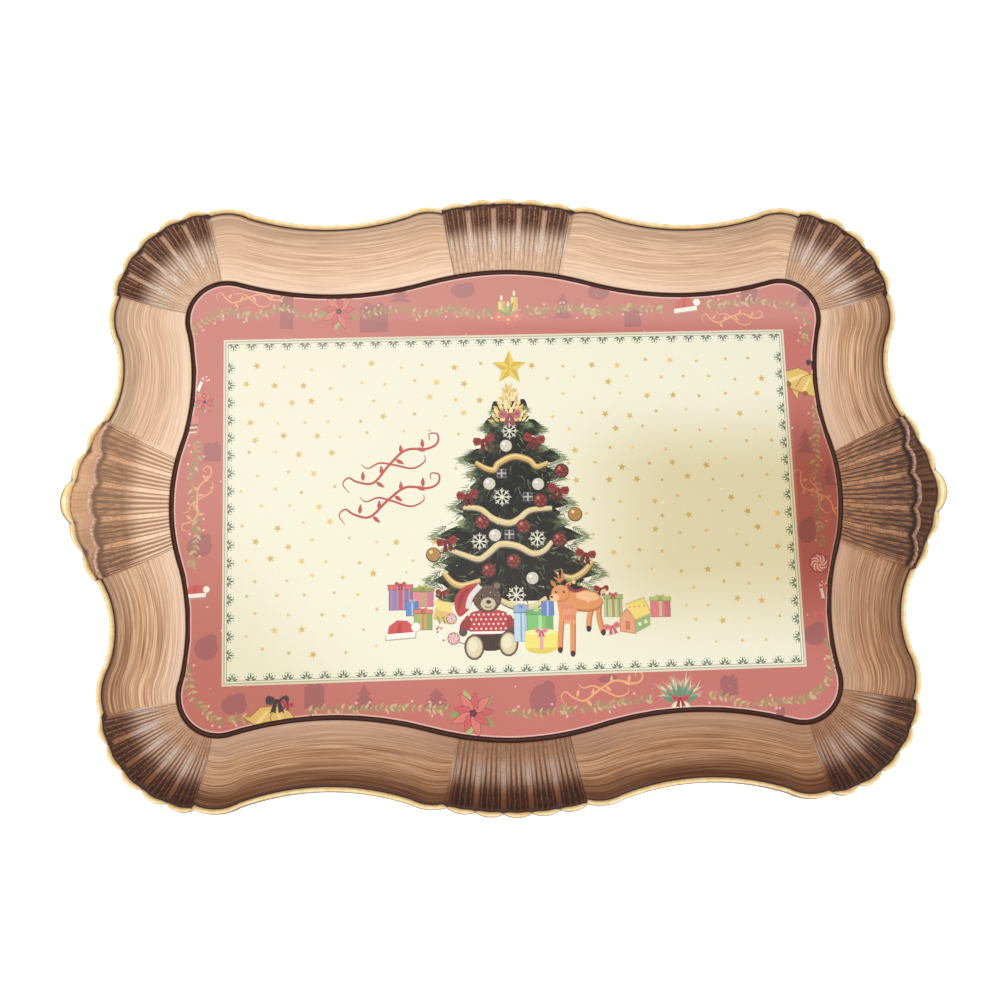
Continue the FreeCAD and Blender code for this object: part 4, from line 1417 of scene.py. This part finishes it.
def handle_colour(s, rim):
    """Hatched brown with dark ribs, paler with painted light on the grip and lip at the rim's far left,
    a painted highlight along the crest and a dark lip.
    """
    hatch = s.times(s.ramp(rim.weave, 0.46, 0.60), s.ramp(rim.speckle, 0.30, 0.55))
    # painted light on the far-left grip, with a ragged edge across it, in a paler lit colour
    painted_light_on_grip = s.times(s.ramp(rim.ragged_across, 0.68, 0.42), s.ramp(rim.painted_shade, 0.65, 0.30))
    colour = s.mix(s.ramp(rim.cross_grain, 0.38, 0.60), srgb(124, 80, 50), srgb(210, 154, 112))
    lit_grip_colour = s.mix(s.ramp(rim.rib, 0.3, 0.9), srgb(176, 128, 92), srgb(246, 214, 186))
    colour = s.mix(painted_light_on_grip, colour, lit_grip_colour)
    colour = s.mix(s.times(hatch, s.ramp(rim.lobe_edge, 0.5, 0.9, 0.25, 0.8)), colour, srgb(206, 166, 136))
    in_valley = s.times(rim.valley, s.math("MULTIPLY_ADD", painted_light_on_grip, -0.45, 0.85))
    colour = s.mix(in_valley, colour, srgb(70, 42, 30))
    smudge = s.times(s.ramp(rim.lobe_edge, 0.85, 0.6), s.ramp(rim.cross_grain, 0.35, 0.65, 0.85, 0.3))
    colour = s.mix(s.times(smudge, s.ramp(rim.ragged_across, 0.35, 0.70, 0.25, 1.0)), colour,
                   srgb(66, 38, 26))
    colour = s.mix(s.ramp(rim.across, 0.90, 0.96), colour, srgb(56, 32, 24))
    # painted highlight along the raised crest
    crest = s.mix(s.ramp(rim.speckle, 0.40, 0.62), srgb(150, 106, 88), srgb(226, 190, 170))
    colour = s.mix(s.ramp(rim.across, 0.97, 1.01), colour, crest)
    lip_shade = s.mix(s.ramp(rim.rib, 0.2, 0.9), srgb(58, 36, 26), srgb(128, 90, 66))
    lip = s.mix(s.ramp(rim.speckle, 0.4, 0.6), lip_shade, srgb(104, 70, 50))
    colour = s.mix(s.ramp(rim.across, 1.06, 1.10), colour, lip)
    # painted light on the far-left lip
    wear = s.times(rim.painted_light, s.ramp(rim.across, 1.04, 1.1, 0.8, 2.2))
    return s.mix(wear, colour, srgb(244, 194, 152))


def antiqued_paint():
    """Brushed wood-effect paint of the whole dish, with dark lines in the groove, at the joins of the lobe
    groups and along the crest. Its darker near right and near side are painted shade after the photograph's
    light, which keeps to the tray, wherever the camera stands."""
    s = Shader("antiqued_wood_paint")
    rim = RimPattern(s)
    fluted = s.attribute("fluted")
    handle = s.attribute("handle")
    colour = s.mix(fluted, plain_colour(s, rim), flute_colour(s, rim))
    colour = s.mix(handle, colour, handle_colour(s, rim))
    at_join = s.times(s.attribute("join"), s.ramp(rim.across, 1.1, 0.9, 0.0, 0.8))
    colour = s.mix(at_join, colour, srgb(74, 44, 32))
    # painted shade towards the tray's near right
    colour = s.tinted(s.ramp(rim.painted_shade, 0.45, 1.0, 0.0, 0.62), colour, srgb(192, 162, 136))
    # painted shade at the foot and the crest on the near side
    painted_shade_near_side = s.ramp(rim.y, -0.10, -0.14)
    foot_or_crest = s.math("MAXIMUM", s.ramp(rim.across, 0.45, 0.05), s.ramp(rim.across, 0.6, 1.0))
    colour = s.tinted(s.times(painted_shade_near_side, foot_or_crest), colour, srgb(190, 170, 156))
    colour = s.mix(s.ramp(rim.across, 0.005, -0.02), colour, srgb(64, 28, 14))
    crest_line = s.times(s.ramp(rim.across, 0.975, 1.02), s.math("SUBTRACT", 1.0, handle))
    colour = s.mix(crest_line, colour, srgb(66, 36, 24))
    lip_edge = s.times(handle, s.ramp(rim.across, 1.45, 1.6, 0.0, 0.8))
    colour = s.mix(lip_edge, colour, srgb(60, 34, 24))
    underside = s.ramp(rim.across, 2.3, 2.6)
    colour = s.mix(underside, colour, srgb(104, 66, 44))
    height = s.mix(fluted, rim.fine_grain, rim.cross_grain)
    height = s.mix(handle, height, s.math("ADD", rim.cross_grain, rim.weave))
    s.bump(height, 0.5, 0.25)
    return s.finish(colour, s.ramp(rim.fine_grain, 0.3, 0.7, 0.34, 0.48), Specular_IOR_Level=0.28)


def gilt_paint():
    s = Shader("gilt_paint")
    along = s.attribute("rim_along")
    lobe_edge = s.attribute("lobe_edge")
    across = s.attribute("rim_across")
    wear = s.noise(s.vector(s.times(along, 0.35), across), 1.0, 3.0, 0.6)
    colour = s.mix(s.ramp(wear, 0.35, 0.7), srgb(250, 224, 172), srgb(240, 202, 140))
    colour = s.mix(s.ramp(lobe_edge, 0.86, 0.99, 0.0, 0.7), colour, srgb(206, 176, 158))
    colour = s.mix(s.ramp(across, 0.42, 0.31, 0.0, 0.9), colour, srgb(112, 98, 66))
    colour = s.mix(s.ramp(across, 0.90, 1.0, 0.0, 0.8), colour, srgb(116, 74, 40))
    s.bump(s.noise(s.object_place(), 900.0, 3.0), 0.15, 0.1)
    return s.finish(colour, s.ramp(wear, 0.3, 0.8, 0.3, 0.45), Metallic=0.15)


def printed_ink():
    """Ink colours from the picture's faces, with a slight mottle and dust. A painted reflection makes them
    hazy towards the far left and along the far edge, and painted shade makes them darker and yellower in the
    middle of the right side and at the near left, after the photograph's light. All of it keeps to the tray,
    wherever the camera stands."""
    s = Shader("printed_ink")
    place = s.object_place()
    x, y, _ = s.split(place)
    mottle = s.noise(place, 1400.0, 3.0, 0.6)
    patches = s.noise(place, 9.0, 2.0)
    dust = s.noise(place, 420.0, 1.0)
    ink = s.attribute("ink", "Color")
    tone = s.mix(mottle, (0.90, 0.90, 0.90, 1.0), (1.0, 1.0, 1.0, 1.0))
    colour = s.mix(1.0, ink, tone, "MULTIPLY")
    # painted reflection: a pale haze towards the far left, with faint patches, and along the far edge
    from_far_left = s.math("MULTIPLY_ADD", y, -1.2, x)
    haze = s.math("ADD", s.ramp(from_far_left, -0.03, -0.20, 0.0, 0.09),
                  s.ramp(patches, 0.35, 0.75, 0.0, 0.02))
    haze = s.math("MAXIMUM", haze, s.ramp(y, 0.086, 0.10, 0.0, 0.13))
    colour = s.mix(haze, colour, srgb(255, 236, 222))
    # painted shade in the middle of the right side and at the near left
    painted_shade_right_middle = s.times(s.ramp(x, 0.0, 0.09), s.times(s.ramp(y, 0.06, 0.01),
                                                                   s.ramp(y, -0.09, -0.03)))
    painted_shade_near_left = s.ramp(s.math("ADD", x, y), -0.13, -0.24, 0.0, 0.5)
    colour = s.tinted(s.math("ADD", painted_shade_right_middle, painted_shade_near_left), colour, srgb(232, 222, 198))
    # painted shade on the red border at the right edge
    painted_shade_right_edge = s.times(painted_shade_right_middle, s.ramp(x, 0.1495, 0.1525))
    colour = s.tinted(painted_shade_right_edge, colour, srgb(222, 190, 186))
    colour = s.mix(s.ramp(dust, 0.80, 0.83, 0.0, 0.7), colour, srgb(248, 240, 230))
    s.bump(s.noise(place, 500.0, 2.0), 0.06, 0.05)
    return s.finish(colour, s.ramp(patches, 0.3, 0.7, 0.42, 0.5), Specular_IOR_Level=0.08, Coat_Weight=0.03,
                    Coat_Roughness=0.25)


def film_gloss():
    """Nearly clear film, seen only by its sheen and a slight unevenness."""
    s = Shader("clear_film_gloss")
    place = s.object_place()
    haze = s.noise(place, 14.0, 3.0)
    colour = s.mix(haze, srgb(252, 250, 246), srgb(255, 255, 255))
    s.bump(s.noise(place, 60.0, 2.0), 0.04, 0.1)
    return s.finish(colour, s.ramp(haze, 0.3, 0.7, 0.14, 0.24), Alpha=0.01)


def dried_adhesive():
    s = Shader("dried_adhesive")
    place = s.object_place()
    streaks = s.noise(place, 120.0, 3.0)
    s.bump(streaks, 0.3, 0.05)
    return s.finish(s.mix(streaks, srgb(226, 220, 202), srgb(240, 236, 224)),
                    s.ramp(streaks, 0.3, 0.7, 0.4, 0.6))


def repaint(node, material):
    """A piece that keeps its own mesh gets its finished material."""
    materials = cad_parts[node].data.materials
    materials.clear()
    materials.append(material)


# ---- stage ----

def make_floor():
    s = Shader("pale_floor")
    grain = s.noise(s.object_place(), 60.0, 3.0)
    material = s.finish(s.mix(grain, (0.93, 0.93, 0.93, 1.0), (0.97, 0.97, 0.97, 1.0)), 0.9,
                        Emission_Color=(1.0, 1.0, 1.0, 1.0), Emission_Strength=0.55)
    mesh = bpy.data.meshes.new("floor")
    width = 6.0
    mesh.from_pydata([(x, y, 0) for x, y in box_outline(width, width)], [], [(0, 1, 2, 3)])
    mesh.materials.append(material)
    floor = add_object("floor", mesh)


def make_light(name, place, size, power):
    """A round white lamp that looks at the tray's middle."""
    light = bpy.data.lights.new(name, "AREA")
    light.shape = "DISK"
    light.size = size
    light.energy = power
    obj = add_object(name, light)
    obj.location = place
    obj.rotation_euler = (-Vector(place)).to_track_quat("-Z", "Y").to_euler()


def make_lighting():
    world = bpy.data.worlds.new("studio")
    bpy.context.scene.world = world
    world.use_nodes = True
    background = world.node_tree.nodes["Background"]
    background.inputs["Color"].default_value = (1.0, 0.99, 0.98, 1.0)
    background.inputs["Strength"].default_value = 0.55
    make_light("key", (-0.18, 0.10, 0.88), size=0.6, power=4.0)
    make_light("fill", (0.35, -0.70, 0.95), size=0.8, power=3.4)
    bpy.context.scene.view_settings.view_transform = "Standard"


def make_camera():
    """Looks almost straight down: a little in front of the tray and left of its middle, slightly turned."""
    place = (-0.0215, -0.0508, 0.446)
    turn_degrees = (6.546, -1.958, -0.996)
    camera = bpy.data.cameras.new("view")
    camera.sensor_width = 36.0
    camera.lens = 30.6
    camera.clip_start = 0.01
    obj = add_object("view", camera)
    obj.location = place
    obj.rotation_euler = [math.radians(angle) for angle in turn_degrees]
    bpy.context.scene.camera = obj


make_camera()
make_lighting()
make_floor()
make_dish(antiqued_paint())
make_bead(gilt_paint())

make_picture(printed_ink())
repaint("picture_adhesive", dried_adhesive())
repaint("clear_film", film_gloss())
